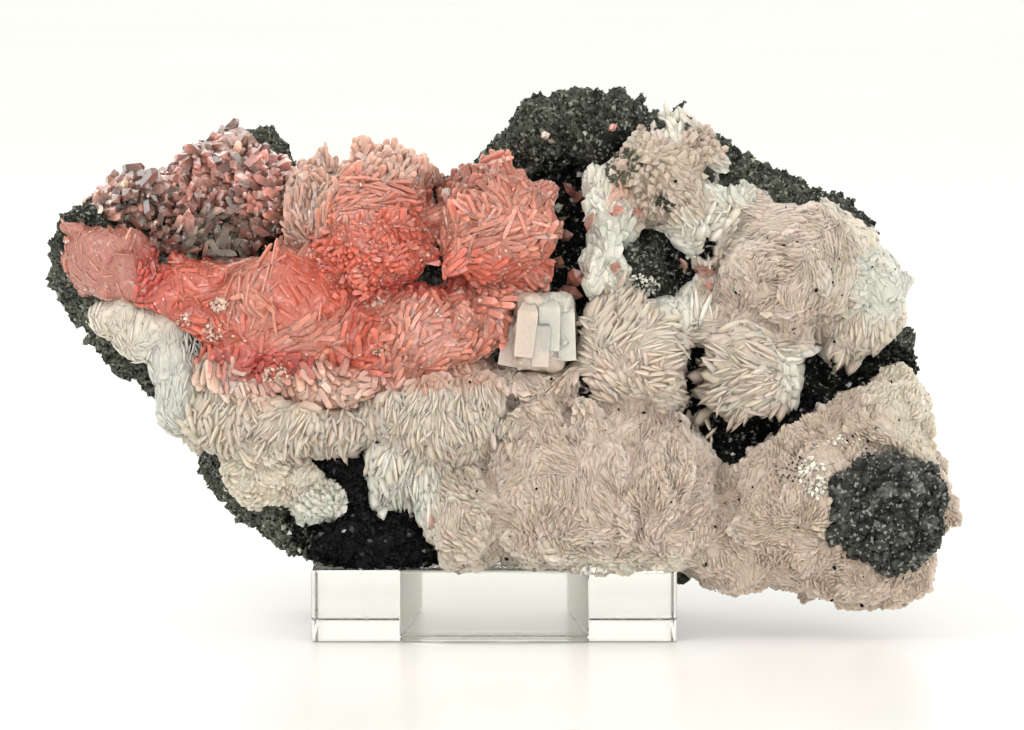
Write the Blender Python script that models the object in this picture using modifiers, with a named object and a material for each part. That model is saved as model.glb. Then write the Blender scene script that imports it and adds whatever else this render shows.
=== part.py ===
"""Rhodochrosite specimen on a clear acrylic stand.

A dark slab of manganese-rich rock carries rose-red crystal clusters on the left, pale pink bladed
crusts on the right, white calcite between them and a dark fragment on the lower right. It leans back
a little on a clear block that has a slot open to the rear.

World frame: metres, +Z up, +X to the right as seen from the front, -Y towards the viewer.
The origin is the middle of the underside of the stand's front wall.
Specimen frame: X right, Y back, Z up along the leaning face. It starts at the stand's front foot.
"""

import math
import random

import bmesh
import bpy
from mathutils import Matrix, Vector, noise

MM = 0.001

# Driving dimensions
STAND_WIDTH = 61.0 * MM
STAND_DEPTH = 40.0 * MM
STAND_HEIGHT = 12.0 * MM
STAND_EDGE = 0.5 * MM
SLOT_FRONT_WIDTH = 32.0 * MM
SLOT_BACK_WIDTH = 25.0 * MM
SLOT_FRONT_WALL = 8.0 * MM
STAND_FRONT = -SLOT_FRONT_WALL / 2
STAND_BACK = STAND_FRONT + STAND_DEPTH
LEAN = math.radians(5.0)
GAP = 0.35 * MM
SLAB_FRONT = 3.0 * MM
SLAB_BACK = 24.0 * MM
SLAB_ROUNDING = 4.0 * MM
THROUGH = 80.0 * MM

# Outline of the rock slab as seen from the front, in millimetres, clockwise from its top left
ROCK_OUTLINE = [
    (-72.0, 71.5), (-66.5, 73.0), (-57.5, 75.5), (-48.0, 82.0), (-43.0, 83.5), (-37.0, 82.0),
    (-34.5, 76.0), (-27.5, 73.0), (-23.0, 75.5), (-15.5, 78.5), (-8.0, 75.5), (-3.5, 76.0),
    (-1.5, 81.0), (2.5, 82.5), (6.0, 87.0), (11.0, 90.5), (14.5, 91.5), (21.0, 90.5),
    (25.5, 88.5), (32.5, 85.5), (37.0, 82.0), (41.0, 83.0), (45.0, 79.5), (49.5, 75.5),
    (55.5, 74.0), (62.5, 69.5), (64.5, 63.5), (66.5, 58.5), (68.5, 54.0), (72.0, 53.0),
    (72.5, 49.5), (69.5, 45.5), (68.0, 35.5), (67.0, 23.5), (63.5, 15.0), (57.0, 10.0),
    (48.0, 9.0), (39.0, 11.0), (30.0, 12.0), (-9.0, 11.5), (-25.0, 12.5), (-34.0, 16.0),
    (-45.0, 23.5), (-52.5, 27.5), (-54.5, 33.5), (-60.5, 38.5), (-66.5, 44.0), (-66.0, 47.0),
    (-70.5, 53.5), (-73.0, 58.5), (-73.5, 63.5),
]

# Lobes are ellipsoids: centre (x, y, z) and half sizes (x, y, z), in millimetres
ROCK_LUMPS = [
    ((13.5, 9, 81.5), (11, 12, 9)), ((4.0, 9, 79.0), (7, 9, 4.5)), ((20.5, 10, 86.0), (6.5, 9, 4.5)),
    ((-63.0, 13, 52.0), (9, 10, 8)), ((-52.0, 13, 38.0), (10, 10, 9)), ((-33.0, 13, 23.0), (12, 10, 8)),
    ((-40.0, 21, 56.0), (24, 12, 18)), ((0.0, 24, 50.0), (32, 13, 28)), ((45.0, 22, 46.0), (23, 12, 22)),
    ((20.0, 20, 72.0), (20, 12, 13)), ((-5.0, 20, 26.0), (26, 11, 12)), ((68.5, 12, 50.0), (4.5, 8, 4.5)),
    ((24.0, 2, 65.0), (4.0, 6, 7.0)), ((40.0, 12, 82.0), (5, 7, 3)), ((-66.0, 11, 70.5), (6, 8, 4.5)),
    ((-40.0, 12, 81.0), (6, 8, 4)), ((22.0, 24, 24.0), (22, 9, 10)),
]
ROSE_LOBES = [
    ((-64.5, 6, 64.0), (8.5, 10, 7.0)), ((-49.5, 3, 59.0), (6.5, 8, 5.5)),
    ((-35.0, 4, 54.5), (14.5, 14, 11.0)), ((-41.0, 3, 45.5), (9.0, 8, 6.0)),
    ((-20.0, 3, 68.5), (10.0, 13, 10.5)), ((-17.5, 4, 77.5), (6.5, 7, 4.0)),
    ((0.0, 1, 69.5), (9.5, 13, 9.5)), ((-12.5, 3, 50.0), (15.5, 10, 9.0)),
    ((2.5, 3, 54.5), (8.0, 9, 6.5)), ((-31.5, 5, 72.0), (6.5, 8, 6.5)),
    ((-26.5, 3, 43.0), (11.5, 8, 5.0)), ((-56.0, 4, 57.0), (7.0, 8, 5.0)),
]
SMOKY_LOBES = [
    ((-62.5, 8, 71.5), (5.5, 7, 3.5)), ((-55.0, 8, 72.5), (7.0, 8, 4.5)), ((-47.0, 8, 75.5), (6.5, 8, 6.0)),
    ((-43.5, 9, 79.0), (5.5, 7, 4.5)), ((-38.5, 7, 73.5), (6.5, 8, 7.0)), ((-51.0, 6, 68.0), (7.5, 6, 3.5)),
]
PALE_LOWER_LOBES = [
    ((18.5, 4, 25.5), (19.5, 15, 14.5)), ((27.5, 2, 21.0), (10.5, 10, 9.0)),
    ((8.5, 3, 31.0), (10.0, 10, 9.0)), ((11.0, 4, 18.5), (11.5, 10, 7.0)),
    ((8.5, 3, 43.0), (8.5, 8, 5.0)), ((-10.0, 3, 38.5), (12.5, 11, 10.5)),
    ((-5.5, 4, 20.5), (8.0, 10, 9.0)), ((-15.0, 2, 28.5), (6.0, 8, 6.0)),
    ((-34.5, 3, 36.0), (15.0, 9, 6.5)), ((-45.5, 4, 38.5), (6.5, 7, 6.0)),
    ((-36.5, 5, 27.5), (9.0, 7, 4.8)), ((-29.5, 5, 24.0), (5.5, 6, 4.0)),
]
PALE_RIGHT_LOBES = [
    ((54.5, 5, 23.5), (16.5, 15, 15.5)), ((64.5, 5, 36.0), (8.5, 10, 9.5)),
    ((41.5, 4, 15.5), (9.0, 10, 6.5)), ((62.5, 5, 14.5), (11.0, 10, 8.5)),
    ((68.0, 5, 25.5), (8.0, 10, 10.5)), ((49.5, 4, 34.5), (10.0, 10, 7.0)),
]
PALE_UPPER_LOBES = [
    ((51.0, 4, 62.0), (14.0, 13, 11.0)), ((59.5, 6, 59.0), (8.5, 9, 8.5)), ((47.0, 5, 68.0), (8.0, 9, 5.5)),
    ((43.0, 3, 46.5), (8.5, 10, 9.5)), ((45.0, 2, 40.5), (5.5, 7, 4.5)), ((61.5, 5, 53.0), (7.0, 9, 6.0)),
    ((59.5, 4, 49.0), (4.5, 6, 3.5)), ((24.0, 2, 49.5), (11.0, 11, 8.5)), ((26.5, 2, 43.5), (6.5, 8, 5.0)),
    ((20.5, 2, 44.5), (7.5, 8, 5.0)), ((35.0, 4, 54.0), (6.0, 8, 5.0)),
]
PALE_TOP_LOBES = [
    ((29.0, 6, 78.5), (8.5, 11, 8.5)), ((34.0, 5, 71.5), (8.0, 10, 6.5)), ((40.5, 7, 72.0), (7.5, 9, 6.5)),
    ((20.0, 3, 72.5), (4.5, 7, 8.0)), ((19.5, 3, 62.0), (4.0, 7, 5.0)), ((36.0, 6, 65.5), (4.5, 7, 5.0)),
]
PALE_LOBES = PALE_LOWER_LOBES + PALE_RIGHT_LOBES + PALE_UPPER_LOBES + PALE_TOP_LOBES
SEAM_LOBES = [
    ((-62.0, 5, 54.4), (4.8, 5, 2.4)), ((-56.5, 5, 52.5), (5.6, 6, 3.8)), ((-54.0, 5, 47.5), (2.8, 5, 4.5)),
    ((-52.4, 5, 41.5), (2.4, 5, 5.0)),
]
FRAGMENT_LOBES = [
    ((63.5, -5, 22.5), (10.0, 7, 8.5)), ((66.0, -4, 18.0), (6.0, 6, 5.5)),
    ((58.5, -5, 25.0), (5.5, 6, 5.5)), ((69.5, -4, 24.0), (5.5, 6, 5.0)),
]
LOWER_DRUSE_LOBES = [
    ((-19.0, 4, 17.0), (11.0, 5, 7.0)), ((-22.5, 4, 27.5), (5.5, 5, 7.0)),
    ((-28.0, 4, 31.0), (5.0, 4, 3.0)),
]

# Where neighbouring crusts meet, as seen from the front, in millimetres. Territories share these lines.
SEAM_OVER_ROSE = [
    (-80.0, 58.5), (-66.0, 57.5), (-61.4, 57.0), (-56.7, 56.2), (-52.3, 53.5), (-50.8, 51.8), (-51.5, 48.0),
    (-51.2, 44.0),
]
ROSE_OVER_PALE = [
    (-51.2, 44.0), (-46.0, 42.0), (-42.0, 40.2), (-34.0, 39.0), (-25.0, 40.0), (-15.5, 42.5), (-7.5, 45.0),
    (2.0, 50.5),
]
BLOCK_LEFT = [(2.0, 50.5), (3.0, 57.0), (7.5, 58.5), (13.5, 59.0)]
BLOCK_RIGHT = [(13.5, 46.0), (13.5, 52.0), (15.0, 55.5), (13.5, 59.0)]
BLOCK_UNDER = [(2.0, 50.5), (2.5, 45.5), (7.5, 44.5), (13.5, 46.0)]
ROSE_RIGHT = [(13.5, 59.0), (12.5, 67.0), (10.5, 73.5), (9.5, 95.0)]
SMOKY_UNDER = [
    (-32.0, 95.0), (-32.5, 78.5), (-34.5, 67.5), (-38.5, 63.5), (-50.0, 63.5), (-57.5, 67.5), (-64.0, 70.0),
    (-80.0, 69.5),
]
SEAM_RIGHT = [(-51.2, 44.0), (-50.8, 40.0), (-51.0, 36.0), (-52.0, 30.0)]
HOLLOW_RIM = [
    (-45.0, 8.0), (-34.0, 14.5), (-28.0, 19.0), (-25.5, 20.5), (-24.3, 24.5), (-27.0, 27.0), (-33.5, 30.0),
    (-33.5, 32.0), (-26.5, 31.5), (-25.5, 32.5), (-22.0, 33.3), (-20.8, 29.0), (-21.0, 22.0), (-17.5, 22.5),
    (-11.0, 21.7), (-10.0, 18.0), (-8.0, 15.0), (-7.5, 8.0),
]
CREVICE = [
    (36.5, 31.5), (42.0, 36.0), (46.0, 38.0), (49.5, 40.5), (52.0, 44.5), (54.0, 47.5), (58.0, 46.0),
    (62.5, 48.5), (66.0, 52.0), (68.5, 53.5), (90.0, 56.0), (90.0, 47.0), (72.0, 46.5), (65.0, 45.0),
    (59.5, 42.5), (54.5, 40.5), (49.5, 37.0), (45.5, 33.5), (42.0, 31.0), (38.0, 28.5),
]
CLEFT = [(31.0, 49.0), (36.3, 49.2), (35.3, 43.7), (34.0, 40.0), (32.5, 38.7), (31.2, 42.0)]

# Crystals: count per square centimetre of lobe, half sizes (across, through, along) in millimetres,
# and whether they stand out of the lobe or lie in it on edge
ROSE_BLADES = {"per_cm2": 0.85, "half_mm": (2.8, 1.8, 4.2), "on_edge": False, "seed": 11}
SMOKY_PRISMS = {"per_cm2": 1.5, "half_mm": (2.3, 2.0, 3.6), "on_edge": False, "seed": 12}
PALE_BLADES = {"per_cm2": 0.8, "half_mm": (2.9, 1.5, 4.6), "on_edge": True, "seed": 13}
DRUSE_POINTS = {"per_cm2": 2.0, "half_mm": (1.9, 1.7, 2.4), "on_edge": False, "seed": 14}

# Crusts: name, lobes, crystal habit, triangles, borders of the territory, seed of the surface
CRUSTS = [
    ("calcite_seam", SEAM_LOBES, None, 220, [SEAM_OVER_ROSE, SEAM_RIGHT, [(-80.0, 30.0)]], 22),
    ("rose_crystals", ROSE_LOBES, ROSE_BLADES, 380,
     [SEAM_OVER_ROSE, ROSE_OVER_PALE, BLOCK_LEFT, ROSE_RIGHT, SMOKY_UNDER], 23),
    ("smoky_crystals", SMOKY_LOBES, SMOKY_PRISMS, 130, [SMOKY_UNDER, [(-80.0, 95.0)]], 24),
    ("pale_crust", PALE_LOBES, PALE_BLADES, 1250,
     [SEAM_RIGHT[::-1], ROSE_OVER_PALE, BLOCK_UNDER, BLOCK_RIGHT, ROSE_RIGHT, [(90.0, 95.0), (90.0, -5.0)],
      HOLLOW_RIM[::-1], [(-60.0, 8.0)]], 25),
    ("black_druse", LOWER_DRUSE_LOBES, DRUSE_POINTS, 110, [HOLLOW_RIM], 29),
]

# Looks: linear colour, roughness and how much light passes through
LOOKS = {
    "acrylic_stand": ((0.95, 0.95, 0.94), 0.05, 1.0),
    "matrix_rock": ((0.055, 0.06, 0.055), 0.75, 0.0),
    "manganese_fragment": ((0.06, 0.065, 0.065), 0.45, 0.0),
    "calcite_block": ((0.72, 0.74, 0.68), 0.35, 0.3),
    "calcite_seam": ((0.74, 0.68, 0.62), 0.5, 0.1),
    "rose_crystals": ((0.68, 0.13, 0.1), 0.25, 0.4),
    "smoky_crystals": ((0.2, 0.1, 0.09), 0.25, 0.3),
    "pale_crust": ((0.68, 0.52, 0.46), 0.5, 0.1),
    "black_druse": ((0.012, 0.012, 0.014), 0.2, 0.0),
}


def start_empty_scene():
    for obj in list(bpy.data.objects):
        bpy.data.objects.remove(obj, do_unlink=True)


def make_collection(name):
    collection = bpy.data.collections.new(name)
    bpy.context.scene.collection.children.link(collection)
    return collection


def make_material(name, colour, roughness, transmission):
    material = bpy.data.materials.new(name)
    material.use_nodes = True
    shader = material.node_tree.nodes["Principled BSDF"]
    shader.inputs["Base Color"].default_value = (*colour, 1.0)
    shader.inputs["Roughness"].default_value = roughness
    shader.inputs["Metallic"].default_value = 0.0
    shader.inputs["Transmission Weight"].default_value = transmission
    return material


def mesh_object(name, bm, collection):
    mesh = bpy.data.meshes.new(name)
    bm.to_mesh(mesh)
    bm.free()
    obj = bpy.data.objects.new(name, mesh)
    collection.objects.link(obj)
    return obj


def settle(obj):
    """Replaces the object's mesh by what its modifiers make of it."""
    graph = bpy.context.evaluated_depsgraph_get()
    mesh = bpy.data.meshes.new_from_object(obj.evaluated_get(graph))
    obj.modifiers.clear()
    obj.data = mesh
    return obj


def boolean(obj, other, operation, has_overlaps=False):
    modifier = obj.modifiers.new(operation.lower(), "BOOLEAN")
    modifier.operation = operation
    modifier.solver = "EXACT"
    modifier.use_self = has_overlaps
    modifier.object = other
    return settle(obj)


def keep_largest_body(obj):
    bm = bmesh.new()
    bm.from_mesh(obj.data)
    seen = set()
    bodies = []
    for start in bm.verts:
        if start in seen:
            continue
        seen.add(start)
        body = [start]
        for vert in body:
            for edge in vert.link_edges:
                other = edge.other_vert(vert)
                if other not in seen:
                    seen.add(other)
                    body.append(other)
        bodies.append(body)
    bodies.sort(key=len)
    for body in bodies[:-1]:
        bmesh.ops.delete(bm, geom=body, context="VERTS")
    bm.to_mesh(obj.data)
    bm.free()
    return obj


def add_ellipsoids(bm, lobes, subdivisions=3):
    for centre, half in lobes:
        place = Matrix.Translation(Vector(centre) * MM) @ Matrix.Diagonal((*[h * MM for h in half], 1.0))
        bmesh.ops.create_icosphere(bm, subdivisions=subdivisions, radius=1.0, matrix=place)


def roughen(mesh, coarse, fine, seed):
    """Pushes the points in and out along their normals. coarse and fine are (height, width) in metres."""
    offset = Vector((seed * 7.1, seed * 3.3, seed * 5.7))
    moves = []
    for vertex in mesh.vertices:
        height = 0.0
        for amount, width in (coarse, fine):
            height += amount * noise.noise(vertex.co / width + offset)
        moves.append(vertex.normal * height)
    for vertex, move in zip(mesh.vertices, moves):
        vertex.co += move


def chip(mesh, count, reach, depth, seed):
    """Flattens places here and there, like the faces of broken rock."""
    rng = random.Random(seed)
    for _ in range(count):
        struck = mesh.vertices[rng.randrange(len(mesh.vertices))]
        centre = struck.co.copy()
        tilt = Vector((rng.uniform(-1, 1), rng.uniform(-1, 1), rng.uniform(-1, 1)))
        face = (struck.normal + tilt * 0.35).normalized()
        cut = centre.dot(face) - depth
        for vertex in mesh.vertices:
            beyond = vertex.co.dot(face) - cut
            if beyond > 0 and (vertex.co - centre).length < reach:
                vertex.co -= face * beyond


def thin_out(obj, triangles):
    """Joins the smallest faces until about that many triangles are left."""
    decimate = obj.modifiers.new("thin", "DECIMATE")
    decimate.ratio = min(1.0, triangles / sum(len(face.vertices) - 2 for face in obj.data.polygons))
    return settle(obj)


def melt(obj, voxel):
    """Turns overlapping shells into one even skin."""
    remesh = obj.modifiers.new("melt", "REMESH")
    remesh.mode = "VOXEL"
    remesh.voxel_size = voxel
    return settle(obj)


def fuse(obj, voxel, triangles, coarse, fine, seed):
    """Melts overlapping shells into one skin, roughens it and thins it to about that many triangles."""
    melt(obj, voxel)
    roughen(obj.data, coarse, fine, seed)
    return keep_largest_body(thin_out(obj, triangles))


def grown(obj, distance, collection):
    """A copy whose faces all lie that distance further out, for cutting the neighbours."""
    bm = bmesh.new()
    bm.from_mesh(obj.data)
    bm.normal_update()
    moves = [vert.normal * (distance * min(2.5, vert.calc_shell_factor())) for vert in bm.verts]
    for vert, move in zip(bm.verts, moves):
        vert.co += move
    return mesh_object(obj.name + "_grown", bm, collection)


def extruded(name, outline, thickness, place, collection):
    """A flat outline in metres as a closed solid of that thickness, moved to its place."""
    curve = bpy.data.curves.new(name, "CURVE")
    curve.dimensions = "2D"
    curve.fill_mode = "BOTH"
    curve.extrude = thickness / 2
    spline = curve.splines.new("POLY")
    spline.points.add(len(outline) - 1)
    for point, (x, y) in zip(spline.points, outline):
        point.co = (x, y, 0.0, 1.0)
    spline.use_cyclic_u = True
    flat = bpy.data.objects.new(name, curve)
    collection.objects.link(flat)
    bpy.context.view_layer.update()
    mesh = bpy.data.meshes.new_from_object(flat.evaluated_get(bpy.context.evaluated_depsgraph_get()))
    bpy.data.objects.remove(flat, do_unlink=True)
    bm = bmesh.new()
    bm.from_mesh(mesh)
    bmesh.ops.remove_doubles(bm, verts=bm.verts, dist=0.01 * MM)
    bmesh.ops.transform(bm, matrix=place, verts=bm.verts)
    bmesh.ops.recalc_face_normals(bm, faces=bm.faces)
    return mesh_object(name, bm, collection)


def prism(name, outline, front, back, collection):
    """An outline of the front view, in millimetres, as a solid from front to back."""
    stand_up = Matrix.Translation((0, (front + back) / 2, 0)) @ Matrix.Rotation(math.radians(90), 4, "X")
    return extruded(name, [(x * MM, z * MM) for x, z in outline], back - front, stand_up, collection)


def inset_outline(outline, distance):
    """Moves each side of a closed outline inwards by that distance, whichever way round it runs."""
    area = sum(a[0] * b[1] - b[0] * a[1] for a, b in zip(outline, outline[1:] + outline[:1]))
    turn = 1.0 if area > 0 else -1.0
    count = len(outline)
    moved = []
    for i in range(count):
        before = Vector(outline[i]) - Vector(outline[i - 1])
        after = Vector(outline[(i + 1) % count]) - Vector(outline[i])
        inward_before = Vector((-before.y, before.x)).normalized() * turn
        inward_after = Vector((-after.y, after.x)).normalized() * turn
        middle = inward_before + inward_after
        moved.append(Vector(outline[i]) + middle * (distance / max(0.4, middle.dot(inward_before))))
    return [(point.x, point.y) for point in moved]


def territory(name, borders, helpers):
    """The space between borders that one crust may fill, half a gap short of each shared line."""
    outline = []
    for border in borders:
        outline += [point for point in border if not outline or point != outline[-1]]
    if outline[0] == outline[-1]:
        outline.pop()
    outline = inset_outline(outline, GAP / MM / 2)
    return prism(name + "_territory", outline, -THROUGH, THROUGH, helpers)


def lobe_value(point, lobe):
    """Under 1 inside the ellipsoid, 1 on it and over 1 outside."""
    centre, half = lobe
    return sum(((point[i] - centre[i]) / half[i]) ** 2 for i in range(3))


def surface_spots(lobes, per_cm2, rng):
    """Evenly spread places (point, normal), in millimetres, on the front and sides of a heap of lobes."""
    golden = math.pi * (3 - math.sqrt(5))
    spots = []
    for lobe in lobes:
        centre, half = lobe
        a, b, c = half
        area_cm2 = 4 * math.pi * (((a * b) ** 1.6 + (a * c) ** 1.6 + (b * c) ** 1.6) / 3) ** (1 / 1.6) / 100
        count = max(4, round(area_cm2 * per_cm2))
        start = rng.random() * math.tau
        for i in range(count):
            y = 1 - 2 * (i + 0.5) / count
            ring = math.sqrt(1 - y * y)
            angle = start + golden * i
            unit = Vector((ring * math.cos(angle), y, ring * math.sin(angle)))
            point = Vector((centre[k] + unit[k] * half[k] for k in range(3)))
            normal = Vector((unit[k] / half[k] for k in range(3))).normalized()
            hidden = any(lobe_value(point, other) < 0.97 for other in lobes if other is not lobe)
            if normal.y < 0.35 and not hidden:
                spots.append((point, normal))
    return spots


def swirl_at(point):
    """A direction that changes smoothly from place to place."""
    return Vector((noise.noise(point + Vector((17.3 * k, 5.1, 9.7 * k)))) for k in range(1, 4))


def add_crystal(bm, point, axis, across, half_mm):
    """A four-sided crystal with flat faces, pointed at both ends, its long axis along axis."""
    long_axis = axis.normalized()
    thin_axis = long_axis.cross(across).normalized()
    wide_axis = thin_axis.cross(long_axis)
    turn = Matrix((wide_axis, thin_axis, long_axis)).transposed().to_4x4()
    size = Matrix.Diagonal((half_mm[0] * MM, half_mm[1] * MM, half_mm[2] * MM, 1.0))
    place = Matrix.Translation(point * MM) @ turn @ size
    bmesh.ops.create_uvsphere(bm, u_segments=4, v_segments=2, radius=1.0, matrix=place)


def crystals_on(name, lobes, habit, helpers):
    """Crystals that stand out from the lobes, or that lie in them on edge."""
    rng = random.Random(habit["seed"])
    bm = bmesh.new()
    for point, normal in surface_spots(lobes, habit["per_cm2"], rng):
        swirl = swirl_at(point / 14.0) * 1.6
        jitter = Vector((rng.uniform(-1, 1), rng.uniform(-1, 1), rng.uniform(-1, 1)))
        grow_by = rng.uniform(0.75, 1.2)
        half = [h * grow_by for h in habit["half_mm"]]
        if habit["on_edge"]:
            flow = Vector((0.0, 0.0, 1.0)) + swirl + jitter * 0.25
            along = flow - normal * flow.dot(normal)
            add_crystal(bm, point, along + normal * rng.uniform(-0.25, 0.25), normal, half)
        else:
            outward = normal + jitter * 0.55
            add_crystal(bm, point, outward, swirl + jitter * 0.5 + Vector((0.3, 0.1, 0.2)), half)
    return mesh_object(name + "_crystals", bm, helpers)


def build_crust(name, lobes, habit, triangles, borders, seed, cutters, part, helpers):
    """Fused lobes with flat-faced crystals, kept to their territory and clear of what they grow on."""
    bm = bmesh.new()
    add_ellipsoids(bm, lobes)
    crust = mesh_object(name, bm, part)
    fuse(crust, 1.0 * MM, triangles, (1.1 * MM, 9 * MM), (0.5 * MM, 3 * MM), seed)
    if habit:
        boolean(crust, crystals_on(name, lobes, habit, helpers), "UNION", has_overlaps=True)
    boolean(crust, territory(name, borders, helpers), "INTERSECT")
    for cutter in cutters:
        boolean(crust, cutter, "DIFFERENCE", has_overlaps=True)
    return keep_largest_body(crust)


def build_fragment(cutters, part, helpers):
    """The dark broken piece set in the right-hand crust, and the larger copy that makes room for it."""
    bm = bmesh.new()
    add_ellipsoids(bm, FRAGMENT_LOBES)
    fragment = mesh_object("manganese_fragment", bm, part)
    fuse(fragment, 0.8 * MM, 200, (1.5 * MM, 6 * MM), (0.9 * MM, 2.5 * MM), 21)
    room = grown(fragment, GAP, helpers)
    for cutter in cutters:
        boolean(fragment, cutter, "DIFFERENCE")
    keep_largest_body(fragment)
    return room


def build_rock(part):
    """The slab from its outline, with knobs, a bulging back and a broken surface."""
    rock = prism("matrix_rock", ROCK_OUTLINE, SLAB_FRONT, SLAB_BACK, part)
    bevel = rock.modifiers.new("rounding", "BEVEL")
    bevel.width = SLAB_ROUNDING
    bevel.segments = 3
    settle(rock)
    bm = bmesh.new()
    bm.from_mesh(rock.data)
    add_ellipsoids(bm, ROCK_LUMPS)
    bm.to_mesh(rock.data)
    bm.free()
    chip(melt(rock, 1.6 * MM).data, 70, 15 * MM, 1.3 * MM, 3)
    return fuse(rock, 1.6 * MM, 1100, (1.8 * MM, 12 * MM), (0.8 * MM, 4 * MM), 3)


def build_calcite_block(cutters, part, helpers):
    """Two blocky white crystals side by side, grown together."""
    bm = bmesh.new()
    for centre, half, turn in (
        ((6.6, 0.5, 51.8), (3.3, 8.0, 5.4), 7.0),
        ((10.4, 1.4, 52.4), (2.3, 8.0, 4.9), -3.0),
    ):
        place = (
            Matrix.Translation(Vector(centre) * MM)
            @ Matrix.Rotation(math.radians(turn), 4, "Y")
            @ Matrix.Rotation(math.radians(turn * 2), 4, "Z")
            @ Matrix.Diagonal((*[2 * h * MM for h in half], 1.0))
        )
        bmesh.ops.create_cube(bm, size=1.0, matrix=place)
    block = mesh_object("calcite_block", bm, part)
    thin_out(melt(block, 0.6 * MM), 120)
    borders = [BLOCK_LEFT, BLOCK_RIGHT[::-1], BLOCK_UNDER[::-1]]
    boolean(block, territory("calcite_block", borders, helpers), "INTERSECT")
    for cutter in cutters:
        boolean(block, cutter, "DIFFERENCE")
    return keep_largest_body(block)


def stand_outline(grow):
    """The stand seen from above: a block with a tapering slot from its back almost to its front."""
    half_width = STAND_WIDTH / 2 + grow
    front = STAND_FRONT - grow
    back = STAND_BACK + grow
    slot_front = STAND_FRONT + SLOT_FRONT_WALL + grow
    near = SLOT_FRONT_WIDTH / 2 - grow
    far = SLOT_BACK_WIDTH / 2 - grow
    return [
        (-half_width, front), (half_width, front), (half_width, back), (far, back),
        (near, slot_front), (-near, slot_front), (-far, back), (-half_width, back),
    ]


def build_stand(name, grow, collection):
    half_way_up = Matrix.Translation((0, 0, STAND_HEIGHT / 2))
    return extruded(name, stand_outline(grow), STAND_HEIGHT + 2 * grow, half_way_up, collection)


def lean_back(part, stand):
    """Hangs every piece of the specimen on an empty at the stand's front foot and tips it back."""
    empty = bpy.data.objects.new("specimen_lean", None)
    part.objects.link(empty)
    empty.location = (0, STAND_FRONT, 0)
    empty.rotation_euler = (-LEAN, 0, 0)
    for obj in part.objects:
        if obj.type == "MESH" and obj is not stand:
            obj.parent = empty


def hide_helpers(helpers):
    for helper in helpers.objects:
        helper.hide_render = True
        helper.display_type = "WIRE"


def colour_pieces(part):
    for obj in part.objects:
        if obj.type == "MESH":
            colour, roughness, transmission = LOOKS[obj.name]
            obj.data.materials.clear()
            obj.data.materials.append(make_material(obj.name, colour, roughness, transmission))


def main():
    start_empty_scene()
    part = make_collection("rhodochrosite_specimen")
    helpers = make_collection("helpers")

    stand = build_stand("acrylic_stand", 0.0, part)
    edges = stand.modifiers.new("edges", "BEVEL")
    edges.width = STAND_EDGE
    edges.segments = 1
    leaning = Matrix.Translation((0, STAND_FRONT, 0)) @ Matrix.Rotation(-LEAN, 4, "X")
    stand_cutter = build_stand("stand_cutter", GAP, helpers)
    stand_cutter.matrix_world = leaning.inverted()

    rock = build_rock(part)
    rock_cutter = grown(rock, GAP, helpers)
    boolean(rock, stand_cutter, "DIFFERENCE")
    keep_largest_body(rock)

    grow_on = [rock_cutter, stand_cutter]
    fragment_room = build_fragment(grow_on, part, helpers)
    build_calcite_block(grow_on, part, helpers)
    hollows = [prism("hollow", rim, -THROUGH, THROUGH, helpers) for rim in (CREVICE, CLEFT)]
    for name, lobes, habit, triangles, borders, seed in CRUSTS:
        cutters = grow_on + [fragment_room] + hollows if name == "pale_crust" else grow_on
        build_crust(name, lobes, habit, triangles, borders, seed, cutters, part, helpers)

    colour_pieces(part)
    hide_helpers(helpers)
    lean_back(part, stand)


main()
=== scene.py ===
"""Looks of the rhodochrosite specimen on its clear stand.

The fine crystals are meshes that sit on, or in place of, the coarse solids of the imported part.
Specimen frame, in millimetres: x to the right, y to the back, z up along the leaning face.
A place of the front view is (x, z).
"""

import math
from collections import namedtuple

import bmesh
import bpy
import numpy as np
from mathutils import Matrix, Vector, noise
from mathutils.bvhtree import BVHTree
from mathutils.kdtree import KDTree


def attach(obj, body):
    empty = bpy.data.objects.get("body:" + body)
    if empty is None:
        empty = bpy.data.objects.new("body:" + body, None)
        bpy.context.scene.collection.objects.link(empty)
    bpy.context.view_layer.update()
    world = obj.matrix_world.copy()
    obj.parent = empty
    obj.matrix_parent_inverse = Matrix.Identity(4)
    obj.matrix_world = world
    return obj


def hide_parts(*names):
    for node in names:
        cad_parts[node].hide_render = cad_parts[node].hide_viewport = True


MM = 0.001
LEAN = math.radians(5.0)
COS = math.cos(LEAN)
SIN = math.sin(LEAN)

# The stand, in millimetres
STAND_WIDTH = 61.0
STAND_DEPTH = 40.0
STAND_HEIGHT = 12.0
STAND_FRONT = -4.0
STAND_EDGE = 0.5
# The crusts and the rock stay this far above the stand, apart from their grains
STAND_CLEARANCE = 0.4
# The floor lies this far below the stand, in metres, so that light gets between them
FLOOR_GAP = 0.0001
SLOT_FRONT_WIDTH = 32.0
SLOT_BACK_WIDTH = 25.0
SLOT_FRONT_WALL = 8.0
# The slot's two sides, counted along the outline from the front, are left as sawn
SAWN_SIDES = (3, 5)

# The camera looks almost square at the leaning face. The frame's middle is this place of the front view.
VIEW_MIDDLE = (3.0, 46.2)
VIEW_WIDTH = 170.7
VIEW_DISTANCE = 950.0
VIEW_ELEVATION = math.radians(5.8)
SENSOR = 36.0

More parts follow.
